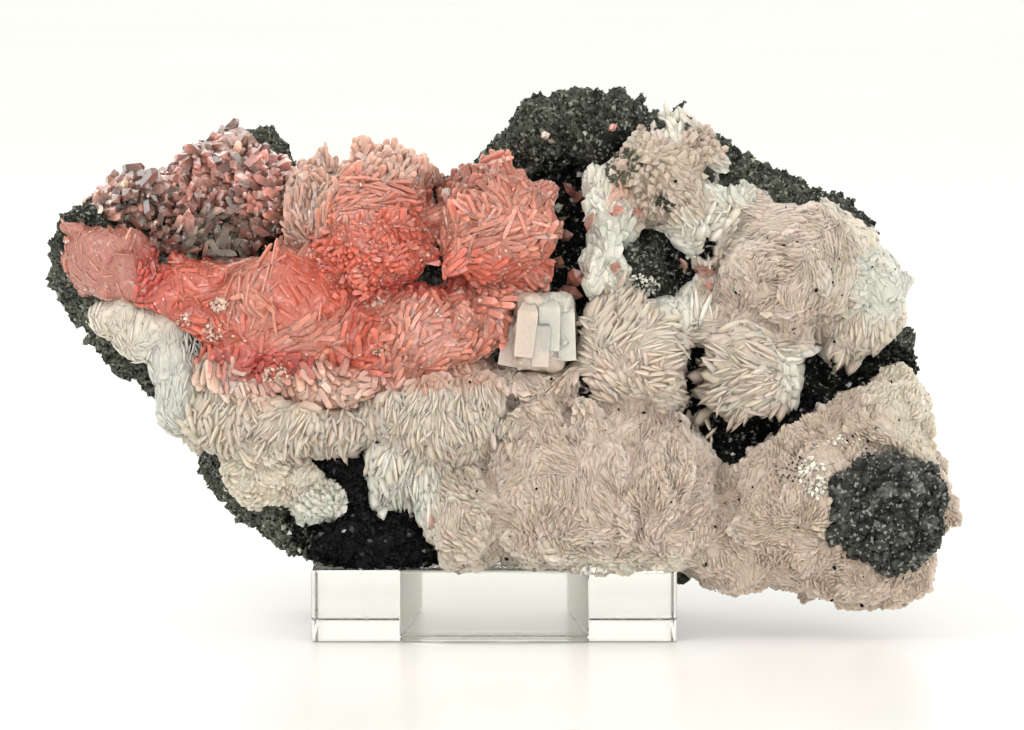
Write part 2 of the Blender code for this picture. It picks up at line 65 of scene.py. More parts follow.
# Linear colours
SALMON = (0.56, 0.137, 0.092)
LIGHT_SALMON = (0.565, 0.225, 0.163)
LOBE_SALMON = (0.46, 0.192, 0.145)
DEEP_RED = (0.44, 0.080, 0.062)
ROSE_BROWN = (0.24, 0.082, 0.057)
DUSKY_ROSE = (0.36, 0.15, 0.11)
SMOKY = (0.15, 0.070, 0.050)
SMOKY_GREY = (0.22, 0.165, 0.125)
SMOKY_PINK = (0.38, 0.20, 0.15)
FAN_PINK = (0.56, 0.34, 0.265)
PINK_WHITE = (0.62, 0.44, 0.35)
PALE_PINK = (0.585, 0.475, 0.39)
PALE_DUSKY = (0.53, 0.425, 0.34)
PALE_WARM = (0.56, 0.475, 0.385)
PALE_DIM = (0.48, 0.395, 0.315)
CREAM = (0.58, 0.51, 0.41)
WHITE = (0.66, 0.63, 0.54)
BLUE_WHITE = (0.575, 0.568, 0.495)
ROCK_GREY = (0.062, 0.066, 0.050)
FLANK_GREY = (0.090, 0.094, 0.073)
ROCK_DARK = (0.032, 0.034, 0.026)
ROCK_BLACK = (0.012, 0.013, 0.010)
GLOSS_BLACK = (0.005, 0.005, 0.005)
SPECK_BLACK = (0.010, 0.009, 0.008)
FRAGMENT_GREY = (0.042, 0.045, 0.040)
# Painted glints on the rock's grains
PAINTED_GLINT_GREY = (0.21, 0.22, 0.18)
FLOOR_WHITE = (0.99, 0.98, 0.945)

# Random places tried on each square millimetre of a skin
TRIES = 5.0
# A crust's flow swirls over this many millimetres
SWIRL_WIDTH = 6.0
# How much each crystal's direction differs from its flow, in radians
SCATTER = 0.16
# The share of crystals that stray from the flow, and by how many radians at most
STRAY_SHARE = 0.08
STRAY_ANGLE = 1.2
# A spot whose normal has a larger y faces the back, where this share of the rock's grains is kept
FACING_BACK = 0.35
BACK_GRAINS = 0.22
# A spot whose normal has a smaller y faces the front, or squarely to the front
FACING_FRONT = 0.3
SQUARE_TO_FRONT = 0.2
# Rays that look for the front of the specimen start at this y and go this far
RAY_START = -60.0
RAY_LENGTH = 90.0

# A zone of a crust: its place in the front view, its half width and half height, the flow of its crystals
# as an angle in degrees or as the place that they point away from, their swirl in degrees, their half sizes
# (along, across, deep), their least and most lift in degrees, their colour, and how far they keep apart
Zone = namedtuple(
    "Zone", "place half flow swirl size lift colour spread", defaults=(None, 0, None, None, None, 1.0)
)
PALE_ZONES = [Zone(*row) for row in [
    ((18.7, 27.5), (19.5, 13.0), 95, 34, (1.2, 0.31, 0.85), (0, 18), PALE_PINK),
    ((17.0, 18.5), (6.0, 2.5), 165, 30, (1.25, 0.33, 0.85), (0, 14), PALE_PINK),
    ((32.5, 24.0), (5.0, 10.0), 68, 26, (1.1, 0.31, 0.85), (0, 18), PALE_PINK),
    ((19.0, 13.5), (16.0, 2.2), 150, 40, (1.1, 0.36, 0.8), (0, 14), CREAM),
    ((52.0, 27.0), (18.0, 12.0), 100, 60, (0.9, 0.29, 0.7), (0, 24), PALE_DUSKY),
    ((45.0, 14.0), (10.0, 6.0), 85, 60, (0.95, 0.32, 0.75), (0, 24), PALE_DUSKY),
    ((68.0, 14.0), (10.0, 9.0), 40, 60, (0.9, 0.31, 0.7), (0, 24), PALE_DUSKY),
    ((69.0, 40.0), (5.0, 11.0), 95, 45, (0.9, 0.42, 0.7), (0, 24), CREAM),
    ((44.5, 67.5), (10.5, 5.0), 6, 20, (1.4, 0.27, 0.7), (0, 14), PALE_PINK),
    ((43.0, 60.0), (8.0, 4.5), 72, 40, (1.2, 0.29, 0.8), (0, 18), PALE_PINK),
    ((55.5, 61.5), (4.5, 9.0), 84, 16, (1.6, 0.25, 0.7), (0, 12), PALE_WARM),
    ((46.0, 54.0), (8.0, 3.5), 88, 30, (1.4, 0.31, 0.9), (0, 22), PALE_PINK),
    ((63.0, 58.5), (4.5, 6.0), 160, 35, (1.5, 0.55, 0.7), (0, 12), BLUE_WHITE, 1.2),
    ((63.0, 70.0), (3.5, 4.0), 40, 60, (1.2, 0.5, 0.7), (0, 16), CREAM, 1.1),
    ((40.5, 50.0), (8.0, 4.0), 172, 14, (2.6, 0.36, 1.1), (2, 22), PALE_WARM),
    ((52.8, 46.5), (3.6, 2.2), 6, 14, (2.5, 0.7, 1.2), (4, 22), WHITE),
    ((49.5, 42.5), (2.6, 3.0), -72, 14, (2.3, 0.6, 1.2), (4, 22), WHITE),
    ((41.0, 41.0), (7.0, 5.0), 213, 16, (2.6, 0.42, 1.2), (2, 26), PALE_WARM),
    ((38.0, 35.5), (3.5, 3.0), 232, 12, (2.4, 0.5, 1.3), (4, 26), PALE_WARM),
    ((21.0, 53.5), (5.0, 4.5), 58, 26, (2.7, 0.5, 1.2), (2, 24), PALE_WARM),
    ((31.5, 55.5), (3.0, 3.5), 95, 12, (2.6, 0.5, 1.2), (2, 20), WHITE),
    ((28.5, 49.5), (5.0, 3.0), 4, 18, (2.7, 0.45, 1.2), (4, 26), PALE_WARM),
    ((21.5, 44.5), (6.5, 4.5), 110, 60, (1.9, 0.5, 1.1), (2, 26), PALE_PINK),
    ((30.5, 41.5), (4.0, 3.5), -28, 22, (2.3, 0.55, 1.2), (2, 26), PALE_WARM),
    ((15.2, 48.5), (2.6, 5.0), 160, 30, (1.8, 0.5, 1.1), (2, 26), PALE_WARM),
    ((60.5, 50.5), (6.0, 5.0), -80, 20, (2.0, 0.42, 1.1), (0, 22), PALE_WARM),
    ((30.0, 79.0), (7.0, 7.0), 60, 110, (1.3, 0.7, 0.9), (5, 60), PALE_DIM, 1.15),
    ((29.5, 86.0), (3.5, 3.0), 100, 20, (1.8, 0.8, 0.8), (15, 55), WHITE, 1.1),
    ((31.5, 74.0), (6.0, 4.0), 70, 90, (1.3, 0.5, 0.9), (0, 35), PALE_DIM, 1.05),
    ((38.5, 76.0), (3.5, 4.0), 100, 60, (1.6, 0.7, 0.9), (0, 30), BLUE_WHITE, 1.1),
    ((37.0, 68.5), (6.0, 4.5), 60, 70, (2.0, 0.55, 1.1), (0, 30), WHITE),
    ((31.5, 66.5), (3.0, 2.5), 5, 14, (2.2, 0.8, 0.8), (0, 10), BLUE_WHITE, 1.2),
    ((20.5, 75.5), (1.8, 3.0), 92, 40, (1.0, 0.45, 0.8), (0, 20), FAN_PINK),
    ((18.3, 77.0), (1.6, 5.0), 92, 40, (1.4, 0.6, 0.8), (0, 16), WHITE, 1.1),
    ((19.5, 66.5), (3.5, 4.5), 95, 40, (1.6, 0.8, 0.7), (0, 12), BLUE_WHITE, 1.3),
    ((16.5, 61.0), (2.8, 3.5), 85, 60, (1.5, 0.8, 0.7), (0, 16), WHITE, 1.2),
    ((8.5, 43.0), (8.5, 4.5), -60, 60, (1.5, 0.42, 1.0), (4, 30), PALE_PINK),
    ((-10.5, 36.5), (11.5, 8.0), (-9.5, 66.0), 18, (2.0, 0.36, 1.1), (2, 22), PALE_WARM, 0.95),
    ((-9.5, 44.5), (10.0, 2.6), (-9.5, 66.0), 24, (1.7, 0.38, 1.0), (4, 24), FAN_PINK),
    ((-4.5, 20.0), (6.5, 9.0), 92, 34, (1.4, 0.40, 0.9), (0, 22), PALE_WARM),
    ((-15.0, 25.5), (6.5, 6.5), (-14.0, 38.0), 12, (2.7, 0.36, 1.2), (2, 20), WHITE, 0.95),
    ((-36.5, 36.0), (14.5, 4.5), (-35.5, 58.0), 30, (2.3, 0.42, 1.2), (4, 32), PALE_WARM),
    ((-33.0, 41.0), (11.0, 2.4), (-35.5, 60.0), 34, (1.9, 0.46, 1.2), (4, 30), PINK_WHITE),
    ((-47.5, 38.5), (4.0, 5.0), 100, 20, (2.4, 0.40, 1.1), (4, 26), CREAM),
    ((-37.0, 27.5), (11.0, 5.0), 20, 110, (1.0, 0.55, 0.8), (0, 45), CREAM),
    ((-28.0, 23.0), (5.0, 4.0), 60, 100, (1.1, 0.55, 0.8), (0, 45), BLUE_WHITE),
]]
ROSE_ZONES = [Zone(*row) for row in [
    ((-65.5, 64.0), (8.5, 6.5), 125, 30, (1.2, 0.11, 0.24), (0, 3), LOBE_SALMON, 4.5),
    ((-57.0, 61.5), (2.8, 4.5), 60, 60, (1.1, 0.32, 0.35), (0, 40), DEEP_RED, 1.3),
    ((-49.5, 59.5), (5.5, 5.0), 120, 50, (1.3, 0.2, 0.3), (0, 8), SALMON, 2.2),
    ((-39.5, 57.5), (5.5, 6.5), 84, 12, (2.4, 0.15, 0.32), (0, 4), LIGHT_SALMON, 2.2),
    ((-33.0, 57.5), (5.5, 6.0), 96, 30, (1.6, 0.20, 0.30), (0, 6), SALMON, 2.4),
    ((-30.0, 51.5), (7.5, 3.2), 16, 14, (1.7, 0.36, 0.36), (0, 6), LIGHT_SALMON, 1.5),
    ((-43.0, 51.0), (6.0, 3.5), 70, 60, (1.4, 0.28, 0.35), (0, 16), SALMON, 1.7),
    ((-41.0, 46.8), (9.0, 2.4), 20, 60, (1.2, 0.32, 0.35), (0, 24), DEEP_RED, 1.5),
    ((-46.5, 43.5), (4.0, 4.0), (-47.0, 55.0), 12, (2.2, 0.26, 0.5), (4, 22), PINK_WHITE, 0.95),
    ((-20.0, 66.0), (9.0, 8.5), (-20.0, 69.0), 80, (0.9, 0.30, 0.30), (0, 50), SALMON, 1.1),
    ((-21.0, 73.5), (6.0, 4.0), 4, 14, (2.4, 0.24, 0.4), (0, 10), LIGHT_SALMON, 1.15),
    ((-16.5, 79.0), (6.5, 2.2), (-17.0, 72.0), 50, (1.3, 0.42, 0.42), (10, 50), FAN_PINK),
    ((0.2, 70.5), (9.5, 8.0), 50, 70, (2.2, 0.30, 0.36), (0, 10), LIGHT_SALMON, 1.25),
    ((8.2, 76.5), (3.2, 4.5), 50, 40, (1.0, 0.30, 0.36), (0, 6), LIGHT_SALMON, 1.25),
    ((-1.0, 62.5), (9.0, 3.0), 10, 60, (1.5, 0.34, 0.4), (0, 16), SALMON, 1.4),
    ((-5.0, 76.0), (6.0, 2.4), 100, 50, (1.5, 0.5, 0.5), (10, 50), ROSE_BROWN, 1.1),
    ((-13.0, 51.0), (7.0, 8.5), 58, 26, (1.7, 0.32, 0.38), (0, 16), LIGHT_SALMON, 1.25),
    ((-3.0, 50.0), (5.0, 7.5), 75, 60, (1.4, 0.34, 0.38), (0, 20), LIGHT_SALMON, 1.25),
    ((-22.0, 50.0), (5.0, 6.0), 40, 60, (1.7, 0.32, 0.4), (2, 20), SALMON, 1.5),
    ((-13.0, 59.5), (8.0, 2.2), 40, 60, (1.1, 0.32, 0.35), (5, 40), DEEP_RED, 1.5),
    ((3.5, 55.0), (6.5, 6.5), (-2.0, 66.0), 50, (1.7, 0.42, 0.5), (4, 34), LIGHT_SALMON),
    ((-31.5, 74.0), (6.5, 6.0), (-31.5, 64.0), 14, (2.3, 0.24, 0.45), (2, 18), FAN_PINK, 0.95),
    ((-26.0, 42.5), (11.0, 3.0), (-26.0, 56.0), 60, (1.5, 0.42, 0.5), (4, 34), FAN_PINK),
]]
SMOKY_ZONES = [Zone(*row) for row in [
    ((-63.0, 71.0), (6.0, 4.0), 60, 120, (1.4, 0.58, 0.50), (10, 70), SMOKY_PINK),
    ((-56.0, 71.5), (5.0, 4.0), 60, 120, (1.2, 0.58, 0.50), (10, 70), SMOKY),
    ((-51.0, 73.5), (4.0, 4.5), 60, 120, (1.2, 0.55, 0.50), (10, 60), LOBE_SALMON),
    ((-46.0, 79.0), (4.0, 4.0), 60, 120, (1.1, 0.55, 0.50), (10, 70), DUSKY_ROSE),
    ((-43.0, 82.0), (4.0, 2.0), 40, 120, (1.2, 0.55, 0.50), (10, 60), SMOKY_PINK),
    ((-38.5, 74.5), (5.0, 4.5), 70, 90, (1.1, 0.48, 0.45), (10, 50), LOBE_SALMON, 1.1),
    ((-45.5, 73.0), (3.0, 3.0), 70, 90, (1.2, 0.55, 0.50), (10, 60), ROSE_BROWN),
    ((-40.0, 69.5), (4.0, 2.6), 60, 90, (1.1, 0.45, 0.45), (10, 60), SMOKY),
    ((-47.0, 69.5), (5.0, 3.5), 50, 70, (1.8, 0.42, 0.40), (5, 40), SMOKY_GREY),
]]
ROCK_ZONES = [Zone(place, half, colour=colour) for place, half, colour in [
    ((6.0, 84.0), (12.0, 7.0), ROCK_GREY),
    ((-4.0, 79.0), (5.0, 3.0), ROCK_GREY),
    ((22.0, 88.0), (7.0, 4.0), ROCK_GREY),
    ((11.5, 72.0), (6.0, 7.0), GLOSS_BLACK),
    ((20.5, 83.5), (5.0, 5.5), GLOSS_BLACK),
    ((1.5, 80.0), (4.0, 2.5), ROCK_BLACK),
    ((-10.0, 74.0), (8.0, 5.0), ROCK_BLACK),
    ((45.0, 80.0), (12.0, 6.0), ROCK_GREY),
    ((68.0, 64.0), (6.0, 8.0), ROCK_DARK),
    ((69.0, 51.5), (4.0, 4.0), ROCK_GREY),
    ((24.5, 63.0), (4.5, 7.0), ROCK_DARK),
    ((34.5, 64.0), (4.5, 4.5), GLOSS_BLACK),
    ((46.0, 38.0), (9.0, 6.0), GLOSS_BLACK),
    ((34.0, 44.0), (4.0, 7.0), GLOSS_BLACK),
    ((61.0, 46.0), (6.0, 3.0), GLOSS_BLACK),
    ((-40.0, 82.0), (7.0, 4.0), ROCK_GREY),
    ((-55.0, 45.0), (18.0, 18.0), FLANK_GREY),
    ((-40.0, 20.0), (14.0, 9.0), FLANK_GREY),
    ((-20.0, 19.0), (11.0, 6.0), GLOSS_BLACK),
    ((-67.0, 71.0), (6.0, 5.0), ROCK_DARK),
    ((-43.0, 66.5), (6.0, 3.0), GLOSS_BLACK),
    ((50.0, 12.0), (14.0, 4.0), ROCK_GREY),
]]
BLACK_ZONE = Zone((0.0, 30.0), (50.0, 50.0), colour=GLOSS_BLACK)
GREY_ZONE = Zone((60.0, 20.0), (50.0, 50.0), colour=FRAGMENT_GREY)
# Where the seam's crystals also grow on the rock beside it, raised by this much
SEAM_GAPS = [((-49.6, 48.8), (2.8, 3.4))]
SEAM_RISE = 0.8
BLOCK_ZONES = [
    Zone((4.2, 52.5), (4.0, 7.0), colour=(0.49, 0.405, 0.335)),
    Zone((10.5, 54.0), (3.0, 6.0), colour=(0.45, 0.44, 0.38)),
    Zone((7.0, 46.0), (8.0, 2.5), colour=(0.48, 0.40, 0.335)),
]
# The tall calcite crystals: place of the front view, half sizes (along, across, deep), angle, colour
CALCITE_CRYSTALS = [
    ((3.0, 50.6), (4.6, 1.7, 1.5), 79, (0.50, 0.41, 0.34)),
    ((5.4, 52.6), (5.0, 1.7, 1.8), 84, (0.52, 0.425, 0.35)),
    ((7.8, 50.4), (4.4, 1.5, 1.5), 88, (0.50, 0.42, 0.35)),
    ((9.2, 53.4), (4.8, 1.8, 1.9), 90, (0.46, 0.45, 0.39)),
    ((11.9, 52.2), (5.2, 1.6, 1.6), 93, (0.47, 0.455, 0.395)),
]
SEAM_ZONES = [Zone(*row) for row in [
    ((-60.0, 54.0), (9.0, 4.0), 78, 16, (1.3, 0.15, 0.32), (0, 6), (0.64, 0.57, 0.475), 1.7),
    ((-54.0, 49.0), (4.0, 5.0), 82, 16, (1.5, 0.16, 0.32), (0, 8), (0.62, 0.60, 0.53), 1.7),
    ((-52.0, 41.0), (3.0, 6.0), 95, 15, (1.8, 0.22, 0.4), (0, 12), (0.575, 0.57, 0.505), 1.3),
]]
# Deep openings in the pale crust, as outlines in the front view
CREVICE = [
    (38.2, 31.4), (39.0, 34.8), (42.0, 37.2), (45.4, 38.7), (49.0, 38.8), (51.5, 41.4), (53.5, 44.5),
    (55.2, 48.0), (57.0, 45.4), (61.5, 45.6), (65.5, 49.0), (70.0, 51.5), (71.0, 49.5), (66.0, 46.0),
    (60.5, 42.4), (54.5, 39.4), (49.5, 36.6), (45.0, 33.2), (41.5, 30.8), (39.4, 29.6),
]
CLEFT = [
    (31.4, 49.5), (33.5, 50.0), (36.0, 49.0), (35.2, 43.7), (34.0, 40.0), (32.0, 38.7), (31.2, 42.0),
    (32.4, 45.5),
]
PINHOLES = [
    [(14.3, 44.0), (16.0, 43.4), (16.6, 41.2), (15.0, 40.6)],
    [(34.2, 68.4), (36.8, 67.4), (37.0, 64.2), (34.8, 64.0)],
]
HOLLOW_DEPTH = 4.5
# Where the pale crystals also grow on the rock between two crusts, raised by this much
PALE_GAPS = [((34.4, 35.0), (2.6, 4.0))]
PALE_RISE = 2.0
# Where small glossy black crystals coat the rock: place of the front view, half width, half height
BLACK_PATCHES = [
    ((11.5, 73.5), (6.0, 8.0)), ((-43.0, 66.8), (4.5, 2.2)), ((33.5, 64.0), (5.0, 5.5)),
    ((-13.0, 74.0), (3.0, 4.0)), ((34.0, 44.0), (4.0, 7.0)), ((45.0, 37.5), (10.0, 7.5)),
    ((62.0, 46.0), (9.0, 5.0)), ((13.0, 60.0), (4.0, 8.0)), ((-21.0, 20.0), (14.0, 9.0)),
    ((-26.0, 30.0), (8.0, 4.0)),
]

# Single crystals: place of the front view, half sizes (along, across, deep), angle, lift, colour
SINGLE_CRYSTALS = [
    ((14.5, 74.5), (2.4, 0.8, 0.7), 50, 20, DUSKY_ROSE), ((13.0, 75.3), (2.0, 0.7, 0.7), 120, 30, DUSKY_ROSE),
    ((20.3, 71.8), (1.7, 0.9, 0.7), 5, 10, LIGHT_SALMON),
    ((23.8, 71.5), (1.3, 1.0, 0.8), -20, 15, DUSKY_ROSE),
    ((27.8, 70.7), (2.1, 1.3, 0.9), 80, 10, SMOKY_GREY), ((11.8, 67.8), (1.6, 1.1, 0.9), 20, 25, DUSKY_ROSE),
    ((20.2, 62.3), (1.5, 0.8, 0.8), 85, 15, SMOKY_PINK), ((31.5, 62.7), (1.7, 1.0, 0.8), 70, 10, SMOKY_PINK),
    ((35.0, 62.0), (2.2, 1.1, 0.9), -38, 10, DUSKY_ROSE),
    ((35.8, 59.3), (1.0, 0.8, 0.7), 90, 20, LIGHT_SALMON),
    ((12.7, 58.2), (2.1, 1.2, 0.9), -15, 15, DUSKY_ROSE),
    ((13.5, 60.7), (1.6, 1.2, 0.9), 30, 10, LIGHT_SALMON),
    ((10.7, 63.2), (1.4, 1.0, 0.9), 60, 30, SMOKY_PINK), ((8.3, 60.5), (1.6, 1.0, 0.9), 10, 20, DUSKY_ROSE),
    ((10.8, 70.2), (1.8, 0.5, 0.5), 10, 25, SMOKY_GREY), ((16.0, 70.0), (1.5, 0.8, 0.7), 65, 25, SMOKY_PINK),
    ((3.0, 76.6), (1.6, 1.0, 0.8), 60, 35, DUSKY_ROSE), ((4.6, 78.0), (1.2, 0.8, 0.7), 100, 40, DUSKY_ROSE),
    ((0.0, 78.0), (2.2, 0.7, 0.7), 95, 20, LIGHT_SALMON),
    ((-12.5, 74.5), (2.0, 0.8, 0.7), 40, 25, SMOKY_PINK),
    ((-7.8, 74.5), (1.4, 0.9, 0.8), 20, 25, SMOKY_PINK), ((-34.2, 30.5), (1.4, 0.6, 0.6), 30, 20, DUSKY_ROSE),
    ((-10.5, 20.0), (1.3, 0.9, 0.8), 70, 20, DUSKY_ROSE),
    ((-71.2, 67.0), (1.3, 0.9, 0.7), 80, 20, LIGHT_SALMON),
    ((19.7, 85.7), (1.2, 0.8, 0.7), 30, 20, LIGHT_SALMON), ((8.5, 84.5), (1.2, 0.7, 0.6), 30, 20, CREAM),
    ((9.6, 83.6), (0.9, 0.6, 0.6), 80, 20, CREAM), ((10.6, 72.7), (1.0, 0.9, 0.8), 10, 0, WHITE),
]
# Clusters of small grains: place of the front view, half width, half height, count, half size, colour. The
# pink-white clusters on the rose crystals are painted glints.
CLUSTERS = {
    "white_grains_and_painted_glints": [
        ((-45.2, 56.3), 1.4, 1.2, 60, 0.32, PINK_WHITE), ((-46.3, 51.8), 2.0, 1.5, 60, 0.28, PINK_WHITE),
        ((-36.3, 44.7), 2.4, 1.6, 110, 0.32, PINK_WHITE), ((-51.5, 53.7), 1.2, 1.2, 24, 0.28, PINK_WHITE),
        ((-19.8, 56.2), 1.6, 1.3, 50, 0.26, PINK_WHITE), ((-19.0, 48.7), 1.4, 1.1, 30, 0.26, PINK_WHITE),
        ((-32.0, 67.5), 1.4, 1.0, 20, 0.26, PINK_WHITE),
        ((15.6, 12.4), 3.2, 0.6, 60, 0.42, (0.66, 0.64, 0.58)),
        ((52.8, 27.6), 2.2, 3.4, 90, 0.34, WHITE), ((58.0, 33.4), 3.0, 0.9, 40, 0.30, WHITE),
        ((24.3, 59.5), 3.6, 1.7, 110, 0.28, BLUE_WHITE), ((-52.0, 37.0), 1.6, 6.0, 60, 0.34, BLUE_WHITE),
    ],
    "dark_granules": [
        ((21.5, 79.0), 3.0, 3.3, 230, 0.34, (0.09, 0.09, 0.06)),
        ((49.5, 28.6), 2.8, 2.8, 55, 0.17, SPECK_BLACK),
        ((40.0, 58.5), 1.4, 0.8, 12, 0.24, SPECK_BLACK), ((49.5, 53.5), 3.0, 2.0, 22, 0.16, SPECK_BLACK),
        ((26.8, 85.8), 1.3, 1.2, 50, 0.50, ROCK_DARK), ((39.2, 76.3), 1.9, 0.9, 60, 0.50, ROCK_DARK),
        ((28.5, 73.0), 1.6, 0.8, 45, 0.45, ROCK_DARK), ((35.3, 78.0), 0.9, 0.7, 24, 0.45, ROCK_DARK),
        ((14.5, 42.0), 0.8, 1.3, 30, 0.35, GLOSS_BLACK),
        ((32.5, 86.0), 2.0, 1.5, 40, 0.32, (0.05, 0.055, 0.04)),
    ],
}
SPECKS = 190
# How many pink-white grains of painted glints lie on the rose crystals
ROSE_PAINTED_GLINTS = 800


def to_specimen(world):
    """World metres to specimen millimetres, for an array of points."""
    x = world[:, 0] / MM
    y = world[:, 1] / MM - STAND_FRONT
    z = world[:, 2] / MM
    return np.stack([x, y * COS - z * SIN, y * SIN + z * COS], axis=1)


def to_world(specimen):
    x, y, z = specimen.T
    return np.stack([x, y * COS + z * SIN + STAND_FRONT, -y * SIN + z * COS], axis=1) * MM


def link(obj):
    bpy.context.scene.collection.objects.link(obj)
    return obj


def settle(obj):
    """Replaces the object's mesh by what its modifiers make of it."""
    graph = bpy.context.evaluated_depsgraph_get()
    mesh = bpy.data.meshes.new_from_object(obj.evaluated_get(graph))
    obj.modifiers.clear()
    obj.data = mesh
    return obj


def corners(mesh):
    co = np.zeros(len(mesh.vertices) * 3, np.float32)
    mesh.vertices.foreach_get("co", co)
    return co.reshape(-1, 3).astype(float)


def triangles(mesh):
    mesh.calc_loop_triangles()
    tris = np.zeros(len(mesh.loop_triangles) * 3, np.int32)
    mesh.loop_triangles.foreach_get("vertices", tris)
    return tris.reshape(-1, 3)


def vertex_normals(mesh):
    normals = np.zeros(len(mesh.vertices) * 3, np.float32)
    mesh.vertices.foreach_get("normal", normals)
    normals = normals.reshape(-1, 3).astype(float)
    x, y, z = normals.T
    return np.stack([x, y * COS - z * SIN, y * SIN + z * COS], axis=1)


def joined(objects):
    """The corners, in world metres, and the triangles of several meshes."""
    points = []
    faces = []
    for obj in objects:
        faces += (triangles(obj.data) + len(points)).tolist()
        points += corners(obj.data).tolist()
    return points, faces


def cad_nodes(*names):
    """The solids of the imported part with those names."""
    return [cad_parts[name] for name in names]


def shape_of(objects):
    """Those objects as one tree to cast rays at, in the specimen frame."""
    points, faces = joined(objects)
    return BVHTree.FromPolygons(to_specimen(np.array(points)).tolist(), faces)


def noise_at(points, width, seed):
    """Smooth noise from about -1 to 1 at each point."""
    offset = Vector((seed * 7.1, seed * 3.3, seed * 5.7))
    return np.array([noise.noise(Vector(point) / width + offset) for point in points])


def distances(points, patches):
    """The square of how far each point is from each patch or zone in the front view, 1 on its border."""
    places = np.array([patch[0] for patch in patches])
    halves = np.array([patch[1] for patch in patches])
    return (((points[:, None, ::2] - places) / halves) ** 2).sum(2)


def nearest_zone(points, zones):
    """For each point, the number of the zone that it lies in or nearest to in the front view."""
    return distances(points, zones).argmin(1)


def jittered(points, amount, seed):
    """The points moved about in the front view, so that zones meet along uneven borders."""
    moved = points.copy()
    moved[:, 0] += amount * noise_at(points, 3.0, seed)
    moved[:, 2] += amount * noise_at(points, 3.0, seed + 1)
    return moved


def evenly(gap):
    """The same least distance for every spot."""
    return lambda spots: np.full(len(spots), gap)


def inside(points, patches):
    return (distances(points, patches) < 1.0).any(1)


def zone_tints(points, zones, seed):
    """Each point takes the colours of the zones around it, blended where they meet."""
    distance = distances(jittered(points, 2.6, seed), zones)
    weights = np.exp(-3.0 * (distance - distance.min(1)[:, None]))
    weights /= weights.sum(1)[:, None]
    return weights @ np.array([zone.colour for zone in zones])


def within(points, outline):
    """Which points lie inside a closed outline of the front view."""
    x, z = points[:, 0], points[:, 2]
    found = np.zeros(len(points), bool)
    for (x1, z1), (x2, z2) in zip(outline, outline[1:] + outline[:1]):
        crosses = (z1 > z) != (z2 > z)
        side = x < (x2 - x1) * (z - z1) / ((z2 - z1) or 1e-9) + x1
        found ^= crosses & side
    return found


def in_hollows(points):
    uneven = jittered(points, 1.2, 17)
    found = np.zeros(len(points), bool)
    for outline in (CREVICE, CLEFT, *PINHOLES):
        found |= within(uneven, outline)
    return found


def near_hollows(points, reach):
    """Which points are inside a deep opening or nearer to one than the reach."""
    found = in_hollows(points)
    for angle in np.linspace(0.0, math.tau, 8, endpoint=False):
        found |= in_hollows(points + np.array((reach * math.cos(angle), 0.0, reach * math.sin(angle))))
    return found


def facets(points, size, slope, step, seed):
    """Heights that break a surface into small flat faces at different slants."""
    rng = np.random.default_rng(seed)
    spread = points[rng.choice(len(points), max(8, int(len(points) * 0.45 / size ** 2)), replace=False)]
    slants = rng.normal(0.0, slope, (len(spread), 3))
    steps = rng.uniform(-step, step, len(spread))
    cells = nearest_of(points, spread)
    return ((points - spread[cells]) * slants[cells]).sum(1) + steps[cells]


def paint(mesh, tints):
    attribute = mesh.attributes.new("tint", "FLOAT_COLOR", "POINT")
    rgba = np.ones((len(tints), 4), np.float32)
    rgba[:, :3] = np.clip(tints, 0.0, 1.0)
    attribute.data.foreach_set("color", rgba.ravel())


def mesh_piece(name, points, faces, tints, material, smooth):
    """A piece of triangles from arrays, in the specimen frame."""
    mesh = bpy.data.meshes.new(name)
    mesh.vertices.add(len(points))
    mesh.vertices.foreach_set("co", to_world(points).astype(np.float32).ravel())
    mesh.loops.add(faces.size)
    mesh.loops.foreach_set("vertex_index", faces.astype(np.int32).ravel())
    mesh.polygons.add(len(faces))
    mesh.polygons.foreach_set("loop_start", np.arange(0, faces.size, 3, dtype=np.int32))
    mesh.update(calc_edges=True)
    mesh.validate()
    mesh.polygons.foreach_set("use_smooth", np.full(len(mesh.polygons), smooth))
    paint(mesh, tints)
    mesh.materials.append(material)
    return link(bpy.data.objects.new(name, mesh))


def copies(name, bodies, faces, colours, material, smooth):
    """One piece from copies of a form: the points and colours of each copy, and the triangles of one."""
    starts = np.arange(len(bodies)) * bodies.shape[1]
    all_faces = (faces[None, :, :] + starts[:, None, None]).reshape(-1, 3)
    return mesh_piece(name, bodies.reshape(-1, 3), all_faces, colours.reshape(-1, 3), material, smooth)


def above_stand(world):
    """Lifts the points that would lie in the stand to just over its top."""
    x, y, z = world.T / MM
    over = (np.abs(x) < STAND_WIDTH / 2) & (y > STAND_FRONT) & (y < STAND_FRONT + STAND_DEPTH)
    lifted = world.copy()
    lifted[over, 2] = np.maximum(z[over], STAND_HEIGHT + STAND_CLEARANCE) * MM
    return lifted


